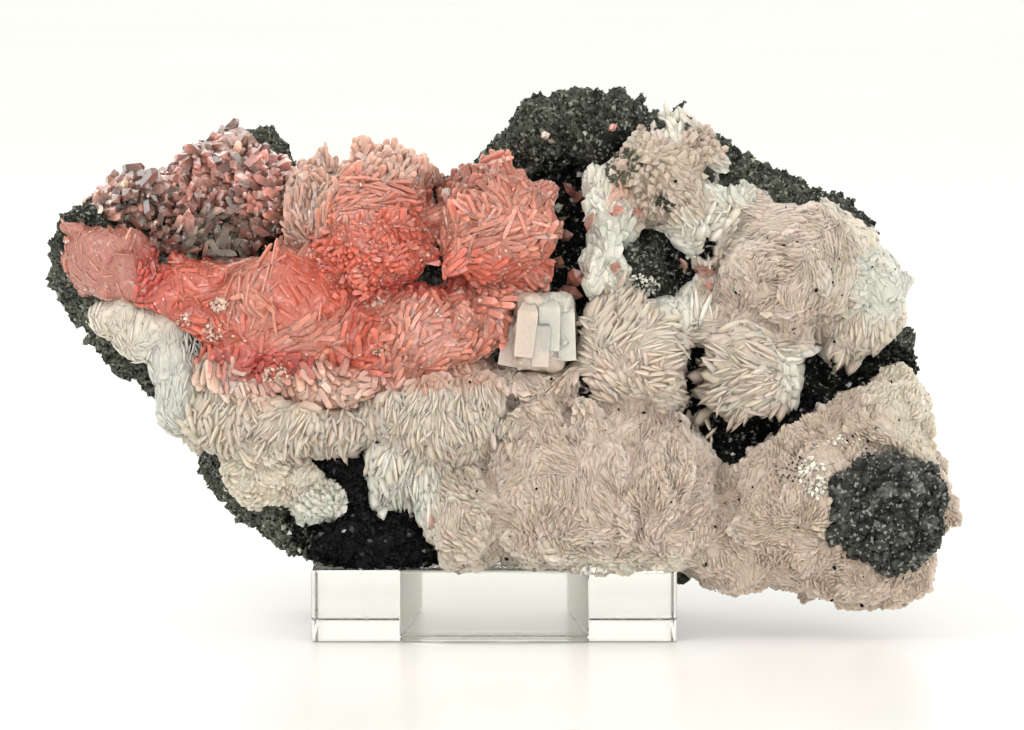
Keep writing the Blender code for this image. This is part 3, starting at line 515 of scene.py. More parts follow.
def skin(name, nodes, voxel, rounds, reliefs, zones, material, seed, broken=(), grow=0.0, shade=1.0):
    """One even fine skin over CAD solids, smoothed and roughened again.

    reliefs are (height, width, ridged) and broken holds the (size, slope, step) of small flat faces.
    grow is how far it swells to close the gaps to its neighbours, in millimetres. shade darkens the whole
    skin, as painted shade in the gaps between the crystals that sit on it.
    """
    points, faces = joined(cad_nodes(*nodes))
    mesh = bpy.data.meshes.new(name)
    mesh.from_pydata(points, [], faces)
    obj = link(bpy.data.objects.new(name, mesh))
    remesh = obj.modifiers.new("even", "REMESH")
    remesh.mode = "VOXEL"
    remesh.voxel_size = voxel * MM
    soften = obj.modifiers.new("soft", "SMOOTH")
    soften.factor = 0.5
    soften.iterations = rounds
    settle(obj)
    mesh = obj.data
    points = to_specimen(corners(mesh))
    normals = vertex_normals(mesh)
    height = np.full(len(points), grow)
    for number, (amount, width, ridged) in enumerate(reliefs):
        relief = noise_at(points, width, seed + number)
        height += amount * (0.6 - 2 * np.abs(relief) if ridged else relief)
    for number, (size, slope, step) in enumerate(broken):
        height += facets(points, size, slope, step, seed + number)
    points += normals * height[:, None]
    mesh.vertices.foreach_set("co", above_stand(to_world(points)).astype(np.float32).ravel())
    mesh.update()
    mesh.polygons.foreach_set("use_smooth", np.ones(len(mesh.polygons), bool))
    paint(mesh, zone_tints(points, zones, seed) * shade)
    mesh.materials.clear()
    mesh.materials.append(material)
    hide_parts(*nodes)
    return obj


def spots_on(obj, spacing, seed):
    """Evenly spread random points and normals on a mesh. spacing gives the least distance at each point."""
    rng = np.random.default_rng(seed)
    mesh = obj.data
    points = to_specimen(corners(mesh))
    normals = vertex_normals(mesh)
    tris = triangles(mesh)
    a, b, c = points[tris[:, 0]], points[tris[:, 1]], points[tris[:, 2]]
    areas = np.linalg.norm(np.cross(b - a, c - a), axis=1) / 2
    count = int(areas.sum() * TRIES)
    picked = rng.choice(len(tris), count, p=areas / areas.sum())
    s = np.sqrt(rng.random(count))
    t = rng.random(count)
    weights = np.stack([1 - s, s * (1 - t), s * t], 1)
    spots = np.einsum("nk,nkj->nj", weights, points[tris[picked]])
    directions = np.einsum("nk,nkj->nj", weights, normals[tris[picked]])
    directions /= np.linalg.norm(directions, axis=1)[:, None]
    kept = keep_apart(spots, spacing(spots))
    return spots[kept], directions[kept]


def keep_apart(spots, gaps):
    """Numbers of the spots that stay when none may lie nearer to an earlier one than its gap."""
    cell = float(gaps.max())
    grid = {}
    kept = []
    keys = np.floor(spots / cell).astype(int)
    for number in range(len(spots)):
        x, y, z = keys[number]
        spot = spots[number]
        gap = gaps[number] ** 2
        near = [
            other
            for dx in (-1, 0, 1)
            for dy in (-1, 0, 1)
            for dz in (-1, 0, 1)
            for other in grid.get((x + dx, y + dy, z + dz), ())
        ]
        if near and ((spots[near] - spot) ** 2).sum(1).min() < gap:
            continue
        grid.setdefault((x, y, z), []).append(number)
        kept.append(number)
    return np.array(kept, int)


def nearest_of(points, middles):
    """For each point, the number of the middle that lies nearest to it."""
    tree = KDTree(len(middles))
    for number, middle in enumerate(middles):
        tree.insert(middle, number)
    tree.balance()
    return np.array([tree.find(point)[1] for point in points])


def bundles(spots, width, seed):
    """The bundle that each spot belongs to, and where the spot lies from the bundle's middle."""
    order = np.random.default_rng(seed).permutation(len(spots))
    middles = spots[order[keep_apart(spots[order], np.full(len(spots), width))]]
    chosen = nearest_of(spots, middles)
    return chosen, spots - middles[chosen]


def uncovered(spots, normals, blockers, start=0.4, reach=3.0):
    """Which spots have no other solid in front of them, on a ray that starts a little above the spot."""
    free = [
        blockers.ray_cast(Vector(spot + normal * start), Vector(normal), reach)[0] is None
        for spot, normal in zip(spots, normals)
    ]
    return np.array(free, bool)


def open_spots(obj, gaps, seed, *covers):
    """Spots on a skin that none of those solids stands right in front of."""
    spots, normals = spots_on(obj, gaps, seed)
    free = uncovered(spots, normals, shape_of(cad_nodes(*covers)))
    return spots[free], normals[free]


def with_gaps(spots, normals, rock, patches, apart, rise, seed):
    """Those spots and more, which lie on the rock inside the patches, raised, clear of the deep openings."""
    more, directions = spots_on(rock, evenly(apart), seed)
    here = inside(more, patches) & (directions[:, 1] < SQUARE_TO_FRONT) & ~near_hollows(more, 0.3)
    raised = more[here] + directions[here] * rise
    return np.concatenate([spots, raised]), np.concatenate([normals, directions[here]])


def unit(vectors):
    return vectors / np.maximum(np.linalg.norm(vectors, axis=1), 1e-9)[:, None]


def flow_at(spots, zones, chosen, turn, fan, rng, seed):
    """The direction that the crystals at each spot point in, in the front view."""
    swirl = noise_at(spots, SWIRL_WIDTH, seed) * 1.3 + turn * 0.7
    x = np.zeros(len(spots))
    z = np.zeros(len(spots))
    for number, zone in enumerate(zones):
        here = chosen == number
        if isinstance(zone.flow, tuple):
            across = spots[here, 0] - zone.flow[0]
            up = spots[here, 2] - zone.flow[1]
            near = np.exp(-(np.hypot(up, across) / 3.0) ** 2)
            angle = np.arctan2(up, across) + rng.normal(0.0, 1.0, here.sum()) * near
        else:
            angle = np.full(here.sum(), math.radians(zone.flow))
        angle = angle + math.radians(zone.swirl) * swirl[here] + rng.normal(0.0, SCATTER, here.sum())
        stray = rng.random(here.sum()) < STRAY_SHARE
        angle = angle + stray * rng.uniform(-STRAY_ANGLE, STRAY_ANGLE, here.sum())
        x[here] = np.cos(angle)
        z[here] = np.sin(angle)
    return np.stack([x, np.zeros(len(spots)), z], 1) + fan


def crystals(name, spots, normals, zones, form, material, seed, smooth, rise=0.15, grade=(0.85, 1.05),
             vary=0.05, bundle_width=4.5, uneven=0.5, mixed_sizes=0.18):
    """One crystal at each spot, along its zone's flow, in bundles that fan out and stand at uneven heights.

    rise lifts each off the surface by a share of its depth, grade is painted shade on the foot and a painted
    highlight on the tip, vary is how much the crystals differ in brightness, and mixed_sizes how much they
    differ in size.
    """
    rng = np.random.default_rng(seed)
    chosen = nearest_zone(jittered(spots, 1.5, seed), zones)
    count = len(spots)
    bundle, offset = bundles(spots, bundle_width, seed + 3)
    turn = rng.normal(0.0, 1.0, bundle.max() + 1)[bundle]
    step = rng.uniform(-0.5, 0.5, bundle.max() + 1)[bundle]
    flow = flow_at(spots, zones, chosen, turn, offset * 0.1, rng, seed)
    along = unit(flow - normals * (flow * normals).sum(1)[:, None])
    lifts = np.array([zone.lift for zone in zones])[chosen]
    raised = np.clip(0.5 + step * 0.7 + rng.uniform(-0.4, 0.4, count), 0, 1)
    lift = np.radians(lifts[:, 0] + (lifts[:, 1] - lifts[:, 0]) * raised)
    length_axis = along * np.cos(lift)[:, None] + normals * np.sin(lift)[:, None]
    side_axis = unit(np.cross(length_axis, normals) + rng.normal(0.0, SCATTER, (count, 3)))
    deep_axis = unit(np.cross(side_axis, length_axis))
    frames = np.stack([length_axis, side_axis, deep_axis], axis=2)
    sizes = np.array([zone.size for zone in zones])[chosen] * rng.uniform(0.85, 1.15, (count, 3))
    mix = rng.normal(0.0, mixed_sizes, (count, 1))
    sizes = sizes * np.exp(np.clip(mix, -0.6, 0.6 * mixed_sizes ** 0.5))
    reach = sizes[:, 0] * np.sin(lift) * 0.5 + sizes[:, 2] * (rng.random(count) * 0.3 - 0.1 + rise)
    centres = spots + normals * (reach + step * uneven)[:, None]
    tints = zone_tints(spots, zones, seed)
    tints = tints * np.exp(rng.normal(0.0, vary, (count, 1))) * rng.uniform(0.97, 1.03, (count, 3))
    points, faces, heights = form
    body = np.einsum("nij,mj->nmi", frames * sizes[:, None, :], points) + centres[:, None, :]
    # Painted shade at each crystal's foot and a painted highlight at its tip
    height = heights[None, :] * (grade[1] - grade[0]) + grade[0]
    colours = tints[:, None, :] * height[:, :, None]
    return copies(name, body, faces, colours, material, smooth)


def make_form(outline, rings, axis, ends=((-1.0, 0, 0), (1.0, 0, 0))):
    """A crystal as points, triangles and how far up along the axis each point is, from 0 to 1.

    Each ring is the outline at (x, half width, half depth), and ends are the tips of the two outer rings.
    """
    points = [(x, y * half_y, z * half_z) for x, half_y, half_z in rings for y, z in outline]
    faces = []
    sides = len(outline)
    outer = (len(rings) - 1) * sides
    for start in range(0, outer, sides):
        for k in range(sides):
            a = start + k
            b = start + (k + 1) % sides
            faces.append((a, b + sides, a + sides))
            faces.append((a, b, b + sides))
    for start, end in ((0, ends[0]), (outer, ends[1])):
        tip = len(points)
        points.append(end)
        for k in range(sides):
            a = start + k
            b = start + (k + 1) % sides
            faces.append((tip, b, a) if start == 0 else (tip, a, b))
    points = np.array(points, float)
    up = points[:, axis]
    return points, np.array(faces, int), (up - up.min()) / (up.max() - up.min())


# Crystal forms, one unit long to each side of their middle
SQUARE = [(-1, -1), (1, -1), (1, 1), (-1, 1)]
FIVE_SIDES = [(math.cos(math.tau * k / 5), math.sin(math.tau * k / 5)) for k in range(5)]
# A small lens-shaped blade
FIBRE = make_form(
    [(0.0, 1.0), (-0.85, 0.35), (-0.8, -0.5), (0.0, -1.0), (0.8, -0.5), (0.85, 0.35)],
    [(-0.5, 0.9, 0.85), (0.5, 0.9, 0.85)], 2, ((-1.0, 0, -0.1), (1.0, 0, -0.1)),
)
# A thin blade on edge, widest towards its blunt tip
BLADE = make_form(
    [(0.0, 1.0), (-1.0, -0.1), (0.0, -1.0), (1.0, -0.1)],
    [(-0.45, 0.75, 0.8), (0.5, 1.0, 0.95)], 2, ((-1.0, 0, -0.5), (1.0, 0, 0.1)),
)
# A longer blade with a rounded back and a thin pointed end
PETAL = make_form(
    [(0.0, 1.0), (-0.9, 0.15), (0.0, -1.0), (0.9, 0.15)],
    [(-0.55, 0.7, 0.7), (0.1, 1.0, 1.0), (0.65, 0.66, 0.75)], 2, ((-1.0, 0, -0.4), (1.05, 0, 0.25)),
)
# A flat-faced lath with bevelled ends
LATH = make_form(SQUARE, [(-0.9, 0.7, 0.7), (-0.6, 1, 1), (0.72, 1, 1), (0.95, 0.45, 0.5)], 0)
# A blocky crystal with a skewed end
BLOCK = make_form(
    SQUARE, [(-1.0, 0.9, 0.9), (0.5, 1, 1), (0.8, 0.6, 0.5)], 0, ((-1.02, 0, 0), (1.0, 0.3, 0.1))
)
# A small five-sided grain
GRANULE = make_form(FIVE_SIDES, [(-0.45, 0.9, 0.9), (0.45, 0.85, 0.85)], 2)
# A lens-shaped crystal with flat faces and sharp edges
LENS = make_form([(-1, -0.1), (-0.2, -1), (1, 0.1), (0.2, 1)], [(-0.35, 0.9, 0.9), (0.3, 1, 1)], 0)
# A squat four-sided crystal, pointed at both ends
POINT = make_form(SQUARE, [(0.1, 1, 1)], 2)


def grains(name, spots, normals, size, stretch, form, tints, material, seed, rise=0.0, grade=(0.8, 1.1)):
    """Grains turned at random, raised by a share of their size.

    size gives the half size at each spot and stretch how uneven they are. grade is painted shade on the side
    of each grain that faces the surface and a painted highlight on the side that faces out.
    """
    rng = np.random.default_rng(seed)
    count = len(spots)
    first = unit(rng.normal(size=(count, 3)))
    second = unit(np.cross(first, rng.normal(size=(count, 3))))
    frames = np.stack([first, second, np.cross(first, second)], axis=2)
    half = size[:, None] * rng.uniform(1 - stretch, 1 + stretch, (count, 3))
    centres = spots + normals * (half[:, :1] * rise)
    points, faces, _ = form
    body = np.einsum("nij,mj->nmi", frames * half[:, None, :], points)
    # Painted shade on each grain's inner side and a painted highlight on its outer side
    outward = (body * normals[:, None, :]).sum(2) / half.max(1)[:, None]
    height = np.clip(outward * 0.5 + 0.5, 0, 1) * (grade[1] - grade[0]) + grade[0]
    colours = tints[:, None, :] * height[:, :, None] * rng.uniform(0.75, 1.3, (count, 1, 1))
    return copies(name, body + centres[:, None, :], faces, colours, material, False)


def feed(tree, socket, value):
    """Gives a socket another node's output, a colour or a number."""
    if isinstance(value, bpy.types.NodeSocket):
        tree.links.new(value, socket)
    elif isinstance(value, tuple) and socket.type == "RGBA":
        socket.default_value = (*value, 1.0)
    else:
        socket.default_value = value


def node(tree, kind, **inputs):
    """The outputs of a new shader node. The names of its inputs are written with _ for a space."""
    new = tree.nodes.new("ShaderNode" + kind)
    for name, value in inputs.items():
        feed(tree, new.inputs[name.replace("_", " ")], value)
    return new.outputs


def noise_node(tree, size_mm, detail, place):
    scale = 1.0 / (size_mm * MM)
    return node(tree, "TexNoise", Scale=scale, Detail=detail, Roughness=0.6, Vector=place)["Fac"]


def ranged(tree, value, low, high, to_low, to_high):
    """The value's range from low to high, spread to the other range."""
    limits = {"From_Min": low, "From_Max": high, "To_Min": to_low, "To_Max": to_high}
    return node(tree, "MapRange", Value=value, **limits)["Result"]


def mixed(tree, kind, factor, first, second):
    mix = tree.nodes.new("ShaderNodeMix")
    mix.data_type = "RGBA"
    mix.blend_type = kind
    for key, value in (("Factor", factor), (6, first), (7, second)):
        feed(tree, mix.inputs[key], value)
    return mix.outputs[2]


def new_material(name):
    """A material, its node tree and the place in the object that its textures follow."""
    material = bpy.data.materials.new(name)
    material.use_nodes = True
    return material, material.node_tree, node(material.node_tree, "TexCoord")["Object"]


def set_shader(tree, settings):
    for name, value in settings.items():
        feed(tree, tree.nodes["Principled BSDF"].inputs[name], value)


def mineral(name, rough, mottle, mottle_mm, bumps, scatter=0.0, scatter_mm=1.0, clear=0.0, coat=0.0, ior=1.55,
            shine=0.5, painted_pit_shade=None, flecks=None, fibre=None):
    """A material of the mesh's own tint, mottled, bumped, flecked and dotted with painted shade by procedural
    noise.

    rough is (least, most). bumps are (depth in mm, size in mm). The dots of painted shade in pits and the
    flecks are (size in mm, share, colour), and fibre is how much the bumps are stretched along each axis.
    """
    material, tree, place = new_material(name)
    tint = tree.nodes.new("ShaderNodeAttribute")
    tint.attribute_name = "tint"
    shade = ranged(tree, noise_node(tree, mottle_mm, 4.0, place), 0.3, 0.7, 1.0 - mottle, 1.0 + mottle)
    grey = node(tree, "CombineColor", Red=shade, Green=shade, Blue=shade)["Color"]
    colour = mixed(tree, "MULTIPLY", 1.0, tint.outputs["Color"], grey)
    if painted_pit_shade:
        size_mm, share, pit_shade_colour = painted_pit_shade
        mask = ranged(tree, noise_node(tree, size_mm, 1.0, place), 1.0 - share, 1.04 - share, 0.0, 1.0)
        colour = mixed(tree, "MIX", mask, colour, pit_shade_colour)
    if flecks:
        size_mm, share, fleck_colour = flecks
        cells = node(tree, "TexVoronoi", Scale=1.0 / (size_mm * MM), Vector=place)["Color"]
        level = node(tree, "SeparateColor", Color=cells)["Red"]
        mask = ranged(tree, level, 1.0 - share, 1.02 - share, 0.0, 1.0)
        colour = mixed(tree, "MIX", mask, colour, fleck_colour)
    bump_place = node(tree, "Mapping", Scale=fibre, Vector=place)["Vector"] if fibre else place
    normal = {}
    for depth, size_mm in bumps:
        height = noise_node(tree, size_mm, 3.0, bump_place)
        bump = node(tree, "Bump", Strength=1.0, Distance=depth * MM, Height=height, **normal)
        normal = {"Normal": bump["Normal"]}
    set_shader(tree, {
        "Base Color": colour,
        "Roughness": ranged(tree, noise_node(tree, mottle_mm * 0.6, 3.0, place), 0.3, 0.7, *rough),
        "IOR": ior,
        "Specular IOR Level": shine,
        "Transmission Weight": clear,
        "Coat Weight": coat,
        "Coat Roughness": 0.12,
        "Subsurface Weight": scatter,
        "Subsurface Radius": (1.0, 0.85, 0.75),
        "Subsurface Scale": scatter_mm * MM,
        **normal,
    })
    return material


def make_materials():
    return {
        # The rock's black dots are painted shade in its pits
        "rock": mineral(
            "dark_rock", (0.45, 0.9), 0.75, 0.7, [(0.5, 1.1), (0.3, 0.4)], shine=0.12,
            flecks=(0.42, 0.14, (0.18, 0.19, 0.155)), painted_pit_shade=(0.9, 0.46, ROCK_BLACK),
        ),
        "rock_grain": mineral("dark_rock_grains", (0.25, 0.6), 0.5, 0.8, [(0.1, 0.3)], shine=0.18),
        "manganese": mineral(
            "manganese_mineral", (0.2, 0.5), 0.7, 1.2, [(0.15, 0.5)], shine=0.15,
            flecks=(0.5, 0.12, (0.22, 0.23, 0.20)),
        ),
        "calcite": mineral(
            "white_calcite", (0.25, 0.45), 0.06, 3.0, [(0.2, 1.5)], scatter=0.85, scatter_mm=2.5, coat=0.1
        ),
        "white_grain": mineral("white_grains", (0.15, 0.35), 0.06, 1.0, [(0.05, 0.4)], coat=0.3),
        "seam": mineral(
            "calcite_seam", (0.35, 0.6), 0.10, 1.5, [(0.12, 0.7)], scatter=0.7, scatter_mm=1.5,
            fibre=(1.0, 1.0, 0.25),
        ),
        "rose": mineral(
            "rose_rhodochrosite", (0.12, 0.36), 0.10, 1.2, [(0.08, 0.8)], scatter=0.8, scatter_mm=1.4,
            coat=0.25,
        ),
        "smoky": mineral(
            "smoky_rhodochrosite", (0.08, 0.25), 0.35, 1.5, [(0.06, 0.7)], scatter=0.2, scatter_mm=0.8,
            clear=0.4, coat=0.12,
        ),
        "pale": mineral(
            "pale_rhodochrosite", (0.38, 0.6), 0.05, 1.3, [(0.04, 0.35)], scatter=0.7, scatter_mm=1.1
        ),
        "black": mineral("black_crystals", (0.15, 0.4), 0.5, 0.6, [(0.03, 0.4)], shine=0.06),
    }


def build_camera():
    camera = bpy.data.cameras.new("camera")
    camera.sensor_width = SENSOR
    camera.lens = SENSOR * VIEW_DISTANCE / VIEW_WIDTH
    camera.clip_end = 100.0
    obj = link(bpy.data.objects.new("camera", camera))
    target = to_world(np.array([[VIEW_MIDDLE[0], 0.0, VIEW_MIDDLE[1]]]))[0]
    away = Vector((0.0, -math.cos(VIEW_ELEVATION), math.sin(VIEW_ELEVATION)))
    obj.location = Vector(target) + away * (VIEW_DISTANCE * MM)
    obj.rotation_euler = (-away).to_track_quat("-Z", "Y").to_euler()
    bpy.context.scene.camera = obj


def area_light(name, place, target, size, power, colour):
    light = bpy.data.lights.new(name, "AREA")
    light.shape = "RECTANGLE"
    light.size, light.size_y = size
    light.energy = power
    light.color = colour
    obj = link(bpy.data.objects.new(name, light))
    obj.location = place
    obj.rotation_euler = (Vector(target) - Vector(place)).to_track_quat("-Z", "Y").to_euler()


def build_lights():
    """Four soft lights and a white studio, with places and sizes in metres."""
    middle = (0.0, 0.0, 0.05)
    area_light("key", (-0.45, -0.6, 0.8), middle, (0.4, 0.3), 2.6, (1.0, 0.985, 0.96))
    area_light("fill", (0.7, -0.7, 0.35), middle, (0.3, 0.3), 0.8, (0.97, 0.985, 1.0))
    area_light("front", (0.15, -1.3, 0.4), middle, (0.8, 0.8), 6.5, (1.0, 0.99, 0.97))
    area_light("back", (0.0, 0.8, 0.6), (0.0, 0.15, 0.0), (0.9, 0.3), 1.5, (1.0, 0.99, 0.97))
    world = bpy.data.worlds.new("studio")
    world.use_nodes = True
    background = world.node_tree.nodes["Background"]
    background.inputs["Color"].default_value = (1.0, 0.995, 0.97, 1.0)
    background.inputs["Strength"].default_value = 1.0
    bpy.context.scene.world = world
    bpy.context.scene.view_settings.view_transform = "Standard"


def build_floor():
    """A plain pale sheet with a faint sheen."""
    bm = bmesh.new()
    bmesh.ops.create_grid(bm, x_segments=8, y_segments=8, size=8.0)
    mesh = bpy.data.meshes.new("floor")
    bm.to_mesh(mesh)
    bm.free()
    paint(mesh, np.tile(FLOOR_WHITE, (len(mesh.vertices), 1)))
    mesh.materials.append(mineral("floor_sheet", (0.20, 0.28), 0.01, 300.0, [], ior=1.45))
    floor = link(bpy.data.objects.new("floor", mesh))
    floor.location.z = -FLOOR_GAP


def stand_ring():
    """The stand's outline from above, with its slot open to the back."""
    half_width = STAND_WIDTH / 2
    front = STAND_FRONT
    back = STAND_FRONT + STAND_DEPTH
    slot_front = STAND_FRONT + SLOT_FRONT_WALL
    near = SLOT_FRONT_WIDTH / 2
    far = SLOT_BACK_WIDTH / 2
    return [
        (-half_width, front), (half_width, front), (half_width, back), (far, back),
        (near, slot_front), (-near, slot_front), (-far, back), (-half_width, back),
    ]


def acrylic(name, roughness, clearness):
    """Clear acrylic with faint dust on its faces."""
    material, tree, place = new_material(name)
    dust = node(tree, "TexNoise", Scale=900.0, Detail=4.0, Vector=place)["Fac"]
    set_shader(tree, {
        "Base Color": (0.89, 0.885, 0.83),
        "Transmission Weight": clearness,
        "IOR": 1.49,
        "Roughness": ranged(tree, dust, 0.45, 0.75, roughness, roughness + 0.12),
    })
    return material


def build_stand():
    bm = bmesh.new()
    lower = [bm.verts.new((x * MM, y * MM, 0.0)) for x, y in stand_ring()]
    upper = [bm.verts.new((x * MM, y * MM, STAND_HEIGHT * MM)) for x, y in stand_ring()]
    bm.faces.new(lower[::-1])
    bm.faces.new(upper)
    for k in range(len(lower)):
        following = (k + 1) % len(lower)
        face = bm.faces.new((lower[k], lower[following], upper[following], upper[k]))
        face.material_index = 1 if k in SAWN_SIDES else 0
    bmesh.ops.bevel(bm, geom=list(bm.edges), offset=STAND_EDGE * MM, segments=3, profile=0.5, affect="EDGES")
    bmesh.ops.recalc_face_normals(bm, faces=bm.faces)
    mesh = bpy.data.meshes.new("stand_block")
    bm.to_mesh(mesh)
    bm.free()
    mesh.materials.append(acrylic("clear_acrylic", 0.04, 1.0))
    mesh.materials.append(acrylic("sawn_acrylic", 0.45, 0.15))
    stand = link(bpy.data.objects.new("stand_block", mesh))
    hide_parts("acrylic_stand")
    return stand


def spacing_by_zone(zones, factor):
    """Crystals keep apart by their own size."""
    def gaps(spots):
        sizes = np.array([math.sqrt(zone.size[0] * zone.size[1]) * zone.spread for zone in zones])
        return sizes[nearest_zone(spots, zones)] * factor
    return gaps


def finish_piece(obj):
    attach(obj, "root")


def build_rock(materials):
    rock = skin(
        "rock_skin", ["matrix_rock"], 0.80, 2, [(1.5, 5.5, True), (0.6, 2.6, True)],
        ROCK_ZONES, materials["rock"], 31, [(2.4, 0.3, 0.3), (1.1, 0.45, 0.28)], grow=0.45,
    )
    finish_piece(rock)
    blockers = shape_of(cad_nodes("pale_crust", "rose_crystals", "smoky_crystals", "calcite_block",
                                  "calcite_seam", "black_druse", "manganese_fragment"))
    spots, normals = spots_on(rock, evenly(0.8), 41)
    free = uncovered(spots, normals, blockers)
    rng = np.random.default_rng(42)
    free &= (normals[:, 1] < FACING_BACK) | (rng.random(len(spots)) < BACK_GRAINS)
    black = inside(spots, BLACK_PATCHES) & (normals[:, 1] < FACING_FRONT)
    plain = free & ~black
    patchy = 1.5 * noise_at(spots[plain], 2.4, 44)[:, None]
    ground = zone_tints(spots[plain], ROCK_ZONES, 31)
    tints = ground * np.exp(rng.normal(0.0, 0.6, (plain.sum(), 1)) + patchy)
    # A few grains are painted light grey: painted glints that stand for the rock's sparkle
    light = rng.random(plain.sum()) < 0.08 + 0.12 * (patchy[:, 0] > 0.2)
    light &= ground[:, 0] > 0.03
    tints[light] = np.array(PAINTED_GLINT_GREY) * rng.uniform(0.5, 1.6, (light.sum(), 1))
    size = 0.16 + 0.34 * rng.random(plain.sum()) ** 2.0
    piece = grains("rock_grains", spots[plain], normals[plain], size, 0.45, POINT, tints,
                   materials["rock_grain"], 43)
    finish_piece(piece)
    return rock


def build_black_crystals(materials, rock):
    druse = skin("druse_skin", ["black_druse"], 0.5, 6, [(0.3, 1.5, True)], [BLACK_ZONE],
                 materials["black"], 51)
    finish_piece(druse)
    blockers = shape_of(cad_nodes("pale_crust", "rose_crystals", "smoky_crystals", "calcite_block",
                                  "calcite_seam"))
    spots, normals = spots_on(rock, evenly(0.62), 52)
    near = inside(spots, BLACK_PATCHES) & (normals[:, 1] < FACING_FRONT)
    spots, normals = spots[near], normals[near]
    free = uncovered(spots, normals, blockers, 0.4, 1.0)
    more, more_normals = spots_on(druse, evenly(0.55), 53)
    front = more_normals[:, 1] < 0.4
    spots = np.concatenate([spots[free], more[front]])
    normals = np.concatenate([normals[free], more_normals[front]])
    rng = np.random.default_rng(54)
    size = rng.uniform(0.25, 0.55, len(spots))
    piece = grains("druse_crystals", spots, normals, size, 0.35, POINT, black_with_painted_glints(len(spots), rng),
                   materials["black"], 55, rise=0.2)
    finish_piece(piece)


def black_with_painted_glints(count, rng):
    """Black tints, with a few crystals painted lighter as painted glints."""
    tints = np.tile(GLOSS_BLACK, (count, 1))
    # The few crystals painted grey stand for glints: painted glints
    glints = rng.random(count) < 0.05
    tints[glints] = 0.04 + 0.4 * rng.random((glints.sum(), 1)) ** 2
    return tints


def build_fragment(materials):
    fragment = skin(
        "fragment_skin", ["manganese_fragment"], 0.5, 3, [(0.9, 3.0, True), (0.3, 1.3, True)], [GREY_ZONE],
        materials["manganese"], 61, [(1.4, 0.5, 0.3)],
    )
    finish_piece(fragment)
    spots, normals = open_spots(fragment, evenly(0.72), 62, "pale_crust", "matrix_rock")
    rng = np.random.default_rng(63)
    size = rng.uniform(0.3, 0.75, len(spots))
    patchy = 0.5 + 0.5 * noise_at(spots, 2.6, 64)
    tints = np.outer(np.clip(0.012 + 0.13 * patchy ** 2.4, 0.008, 0.3), (1.0, 1.0, 0.9))
    piece = grains("fragment_grains", spots, normals, size, 0.5, BLOCK, tints, materials["manganese"], 65)
    finish_piece(piece)


def build_calcite_crystals(materials, block):
    """Tall crystals side by side, grown out of the front of the calcite block."""
    spots, _, found = front_spots(shape_of([block]), [crystal[0] for crystal in CALCITE_CRYSTALS])
    points, faces, _ = BLOCK
    bodies = []
    tints = []
    for spot, number in zip(spots, found):
        _, half, angle, colour = CALCITE_CRYSTALS[number]
        across = math.cos(math.radians(angle))
        up = math.sin(math.radians(angle))
        axes = np.array([(across, 0, up), (up, 0, -across), (0, -1, 0)])
        bodies.append((points * half) @ axes + spot + (0, half[2] * 0.5, 0))
        tints.append(np.tile(colour, (len(points), 1)))
    piece = copies("calcite_crystals", np.array(bodies), faces, np.array(tints), materials["calcite"], False)
    finish_piece(piece)


def build_calcite(materials):
    block = skin(
        "calcite_blocks", ["calcite_block"], 0.3, 3, [(0.5, 4.0, False), (0.12, 1.0, False)], BLOCK_ZONES,
        materials["calcite"], 71, [(3.6, 0.16, 0.3), (1.6, 0.10, 0.12)], grow=0.9,
    )
    finish_piece(block)
    build_calcite_crystals(materials, block)


def build_seam(materials, rock):
    seam = skin("seam_skin", ["calcite_seam"], 0.5, 5, [(0.5, 2.6, False), (0.3, 1.2, True)], SEAM_ZONES,
                materials["seam"], 72, grow=1.6)
    finish_piece(seam)
    spots, normals = open_spots(seam, spacing_by_zone(SEAM_ZONES, 1.15), 73, "matrix_rock", "rose_crystals")
    spots, normals = with_gaps(spots, normals, rock, SEAM_GAPS, 0.4, SEAM_RISE, 77)
    piece = crystals("seam_fibres", spots, normals, SEAM_ZONES, FIBRE, materials["seam"], 74, True,
                     rise=-0.1, vary=0.03)
    finish_piece(piece)


def build_rose(materials):
    rose = skin(
        "rose_skin", ["rose_crystals"], 0.52, 7, [(0.5, 3.5, False)], ROSE_ZONES,
        materials["rose"], 81, [(2.2, 0.12, 0.12), (0.9, 0.25, 0.08)], grow=0.35, shade=0.93,
    )
    finish_piece(rose)
    spots, normals = open_spots(rose, spacing_by_zone(ROSE_ZONES, 1.2), 82, "matrix_rock", "pale_crust",
                                "calcite_block", "calcite_seam", "smoky_crystals")
    piece = crystals("rose_laths", spots, normals, ROSE_ZONES, LATH, materials["rose"], 83, False,
                     rise=-0.36, grade=(0.95, 1.14), vary=0.12, bundle_width=3.5, uneven=0.2)
    finish_piece(piece)
    build_rose_painted_glints(materials, spots, normals)
    return rose


def build_rose_painted_glints(materials, spots, normals):
    """Tiny pink-white grains scattered over the rose crystals: painted glints."""
    rng = np.random.default_rng(85)
    chosen = rng.choice(np.flatnonzero(normals[:, 1] < SQUARE_TO_FRONT), ROSE_PAINTED_GLINTS, replace=False)
    size = 0.09 + 0.2 * rng.random(ROSE_PAINTED_GLINTS) ** 2
    tints = np.tile(PINK_WHITE, (ROSE_PAINTED_GLINTS, 1))
    raised = spots[chosen] + normals[chosen] * 0.3
    piece = grains("rose_painted_glints", raised, normals[chosen], size, 0.4, POINT, tints,
                   materials["white_grain"], 86)
    finish_piece(piece)


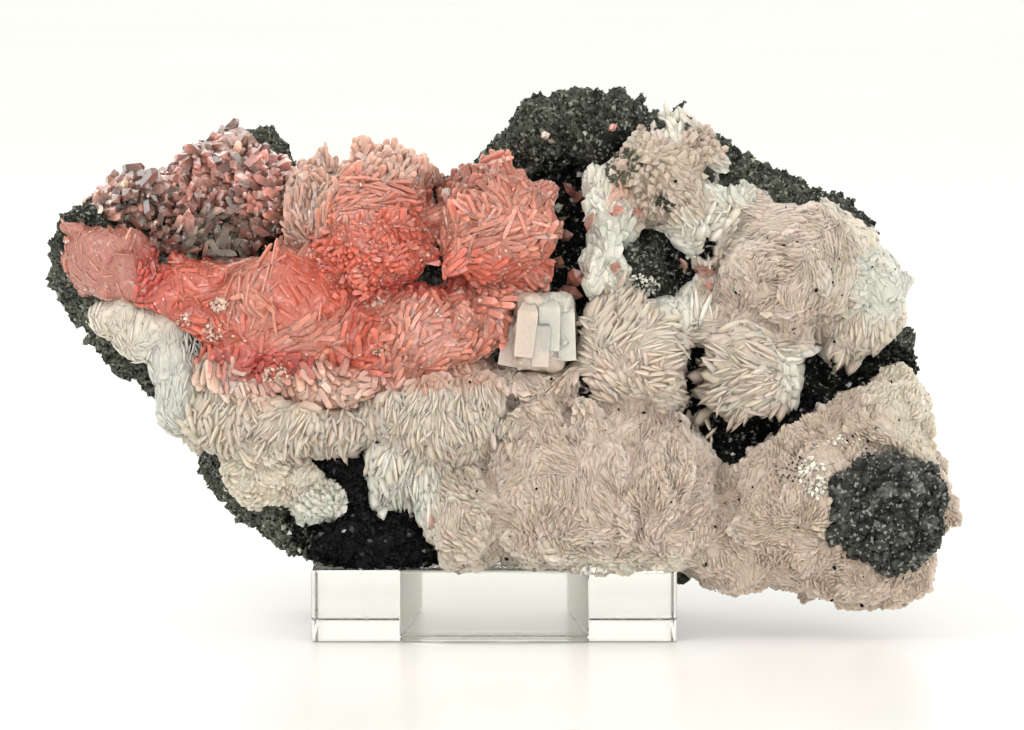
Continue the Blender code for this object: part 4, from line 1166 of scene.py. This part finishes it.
def build_smoky(materials):
    # The smoky skin is painted dark: painted shade in the gaps between its crystals
    smoky = skin(
        "smoky_skin", ["smoky_crystals"], 0.5, 4, [(0.7, 2.6, True)], SMOKY_ZONES, materials["smoky"], 91,
        [(1.3, 0.4, 0.3)], grow=0.2, shade=0.35,
    )
    finish_piece(smoky)
    spots, normals = open_spots(smoky, spacing_by_zone(SMOKY_ZONES, 1.05), 92, "matrix_rock", "rose_crystals")
    piece = crystals("smoky_blocks", spots, normals, SMOKY_ZONES, BLOCK, materials["smoky"], 93, False,
                     rise=0.2, grade=(0.38, 1.35), vary=0.45, bundle_width=3.0, uneven=1.1, mixed_sizes=0.4)
    finish_piece(piece)
    return smoky


def sink_hollows(obj):
    """Pushes the deep openings into the crust and paints their walls black: the black of the crystals that
    line them, and painted shade.
    """
    mesh = obj.data
    points = to_specimen(corners(mesh))
    normals = vertex_normals(mesh)
    hollow = in_hollows(points)
    points[hollow & (normals[:, 1] < FACING_FRONT), 1] += HOLLOW_DEPTH
    mesh.vertices.foreach_set("co", to_world(points).astype(np.float32).ravel())
    mesh.update()
    tints = np.zeros(len(points) * 4, np.float32)
    attribute = mesh.attributes["tint"]
    attribute.data.foreach_get("color", tints)
    tints = tints.reshape(-1, 4)
    # Painted shade and the black crystal lining on the walls of the openings
    tints[hollow, :3] = GLOSS_BLACK
    attribute.data.foreach_set("color", tints.ravel())


def front_spots(shape, places):
    """The points and normals that show at those places of the front view, and which places show any."""
    points = []
    normals = []
    found = []
    for number, (x, z) in enumerate(places):
        point, normal, _, _ = shape.ray_cast(Vector((x, RAY_START, z)), Vector((0.0, 1.0, 0.0)), RAY_LENGTH)
        if point is None:
            continue
        points.append(point)
        normals.append(normal if normal.y < 0 else -normal)
        found.append(number)
    return np.array(points, float), np.array(normals, float), found


def build_single_crystals(materials, shape):
    spots, _, found = front_spots(shape, [crystal[0] for crystal in SINGLE_CRYSTALS])
    facing = np.tile((0.0, -1.0, 0.0), (len(spots), 1))
    zones = [
        Zone(place, (1.0, 1.0), angle, 0, size, (lift, lift + 10), colour)
        for place, size, angle, lift, colour in [SINGLE_CRYSTALS[number] for number in found]
    ]
    piece = crystals("single_crystals", spots, facing, zones, LENS, materials["smoky"], 121, False,
                     rise=0.9, grade=(0.75, 1.2))
    finish_piece(piece)


def build_clusters(materials, shape):
    looks = {"white_grains_and_painted_glints": ("white_grain", "white_calcite"), "dark_granules": ("rock_grain", "dark_rock")}
    for name, clusters in CLUSTERS.items():
        rng = np.random.default_rng(131)
        places = []
        tints = []
        sizes = []
        for (x, z), half_x, half_z, count, size, colour in clusters:
            angle = rng.uniform(0, math.tau, count)
            reach = np.sqrt(rng.random(count))
            places += list(zip(x + half_x * reach * np.cos(angle), z + half_z * reach * np.sin(angle)))
            tints += [colour] * count
            sizes += list(size * rng.uniform(0.5, 1.15, count))
        spots, normals, found = front_spots(shape, places)
        material, slot = looks[name]
        piece = grains(name, spots, normals, np.array(sizes)[found], 0.45, POINT, np.array(tints)[found],
                       materials[material], 132, rise=1.4)
        finish_piece(piece)


def build_specks(materials, spots, normals):
    """Tiny black grains scattered over the pale crust."""
    rng = np.random.default_rng(141)
    chosen = rng.choice(np.flatnonzero(normals[:, 1] < SQUARE_TO_FRONT), SPECKS, replace=False)
    size = 0.13 + 0.24 * rng.random(SPECKS) ** 3
    tints = np.tile(SPECK_BLACK, (SPECKS, 1))
    sunk = spots[chosen] + normals[chosen] * 0.6
    piece = grains("black_specks", sunk, normals[chosen], size, 0.4, GRANULE, tints, materials["black"], 142)
    finish_piece(piece)


def build_hollow_crystals(materials, spots, normals):
    """Small black crystals on the walls of the deep openings."""
    rng = np.random.default_rng(151)
    size = rng.uniform(0.3, 0.6, len(spots))
    piece = grains("hollow_crystals", spots, normals, size, 0.35, POINT, black_with_painted_glints(len(spots), rng),
                   materials["black"], 152)
    finish_piece(piece)


def build_pale(materials, rock):
    """The pale crust: petals where its crystals are long, and finer blades elsewhere, in two pieces."""
    pale = skin(
        "pale_skin", ["pale_crust"], 0.8, 7, [(1.0, 6.0, False), (0.4, 2.6, False)], PALE_ZONES,
        materials["pale"], 101, [(4.5, 0.14, 0.3)], grow=0.3,
    )
    finish_piece(pale)
    sink_hollows(pale)
    blockers = shape_of(cad_nodes("matrix_rock", "rose_crystals", "calcite_block", "manganese_fragment",
                                  "calcite_seam"))
    spots, normals = spots_on(pale, spacing_by_zone(PALE_ZONES, 0.92), 102)
    hollow = in_hollows(spots)
    build_hollow_crystals(materials, spots[hollow], normals[hollow])
    free = uncovered(spots, normals, blockers) & ~near_hollows(spots, 0.4)
    spots, normals = spots[free], normals[free]
    build_specks(materials, spots, normals)
    spots, normals = with_gaps(spots, normals, rock, PALE_GAPS, 0.9, PALE_RISE, 107)
    lengths = np.array([zone.size[0] for zone in PALE_ZONES])[nearest_zone(spots, PALE_ZONES)]
    petals = lengths > 1.75
    left = ~petals & (spots[:, 2] < 42.0) & (spots[:, 0] < 36.0)
    right = ~petals & ~left
    for number, (name, part, form, smooth, rise) in enumerate((
        ("pale_petals", petals, PETAL, True, -0.58),
        ("pale_grains_left", left, BLADE, False, -0.4),
        ("pale_grains_right", right, BLADE, False, -0.4),
    )):
        piece = crystals(name, spots[part], normals[part], PALE_ZONES, form, materials["pale"], 103 + number,
                         smooth, rise=rise, uneven=0.4)
        finish_piece(piece)
    return pale


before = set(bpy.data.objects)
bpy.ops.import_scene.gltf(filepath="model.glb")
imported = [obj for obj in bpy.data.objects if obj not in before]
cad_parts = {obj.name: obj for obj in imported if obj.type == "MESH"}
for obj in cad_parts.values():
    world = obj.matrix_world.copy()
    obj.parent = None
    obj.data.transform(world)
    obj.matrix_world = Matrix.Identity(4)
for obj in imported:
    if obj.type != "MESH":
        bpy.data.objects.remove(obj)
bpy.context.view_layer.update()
build_camera()
build_lights()
build_floor()
materials = make_materials()
finish_piece(build_stand())
rock = build_rock(materials)
build_black_crystals(materials, rock)
build_fragment(materials)
build_calcite(materials)
build_seam(materials, rock)
rose = build_rose(materials)
smoky = build_smoky(materials)
pale = build_pale(materials, rock)
shape = shape_of([rock, rose, smoky, pale])
build_single_crystals(materials, shape)
build_clusters(materials, shape)
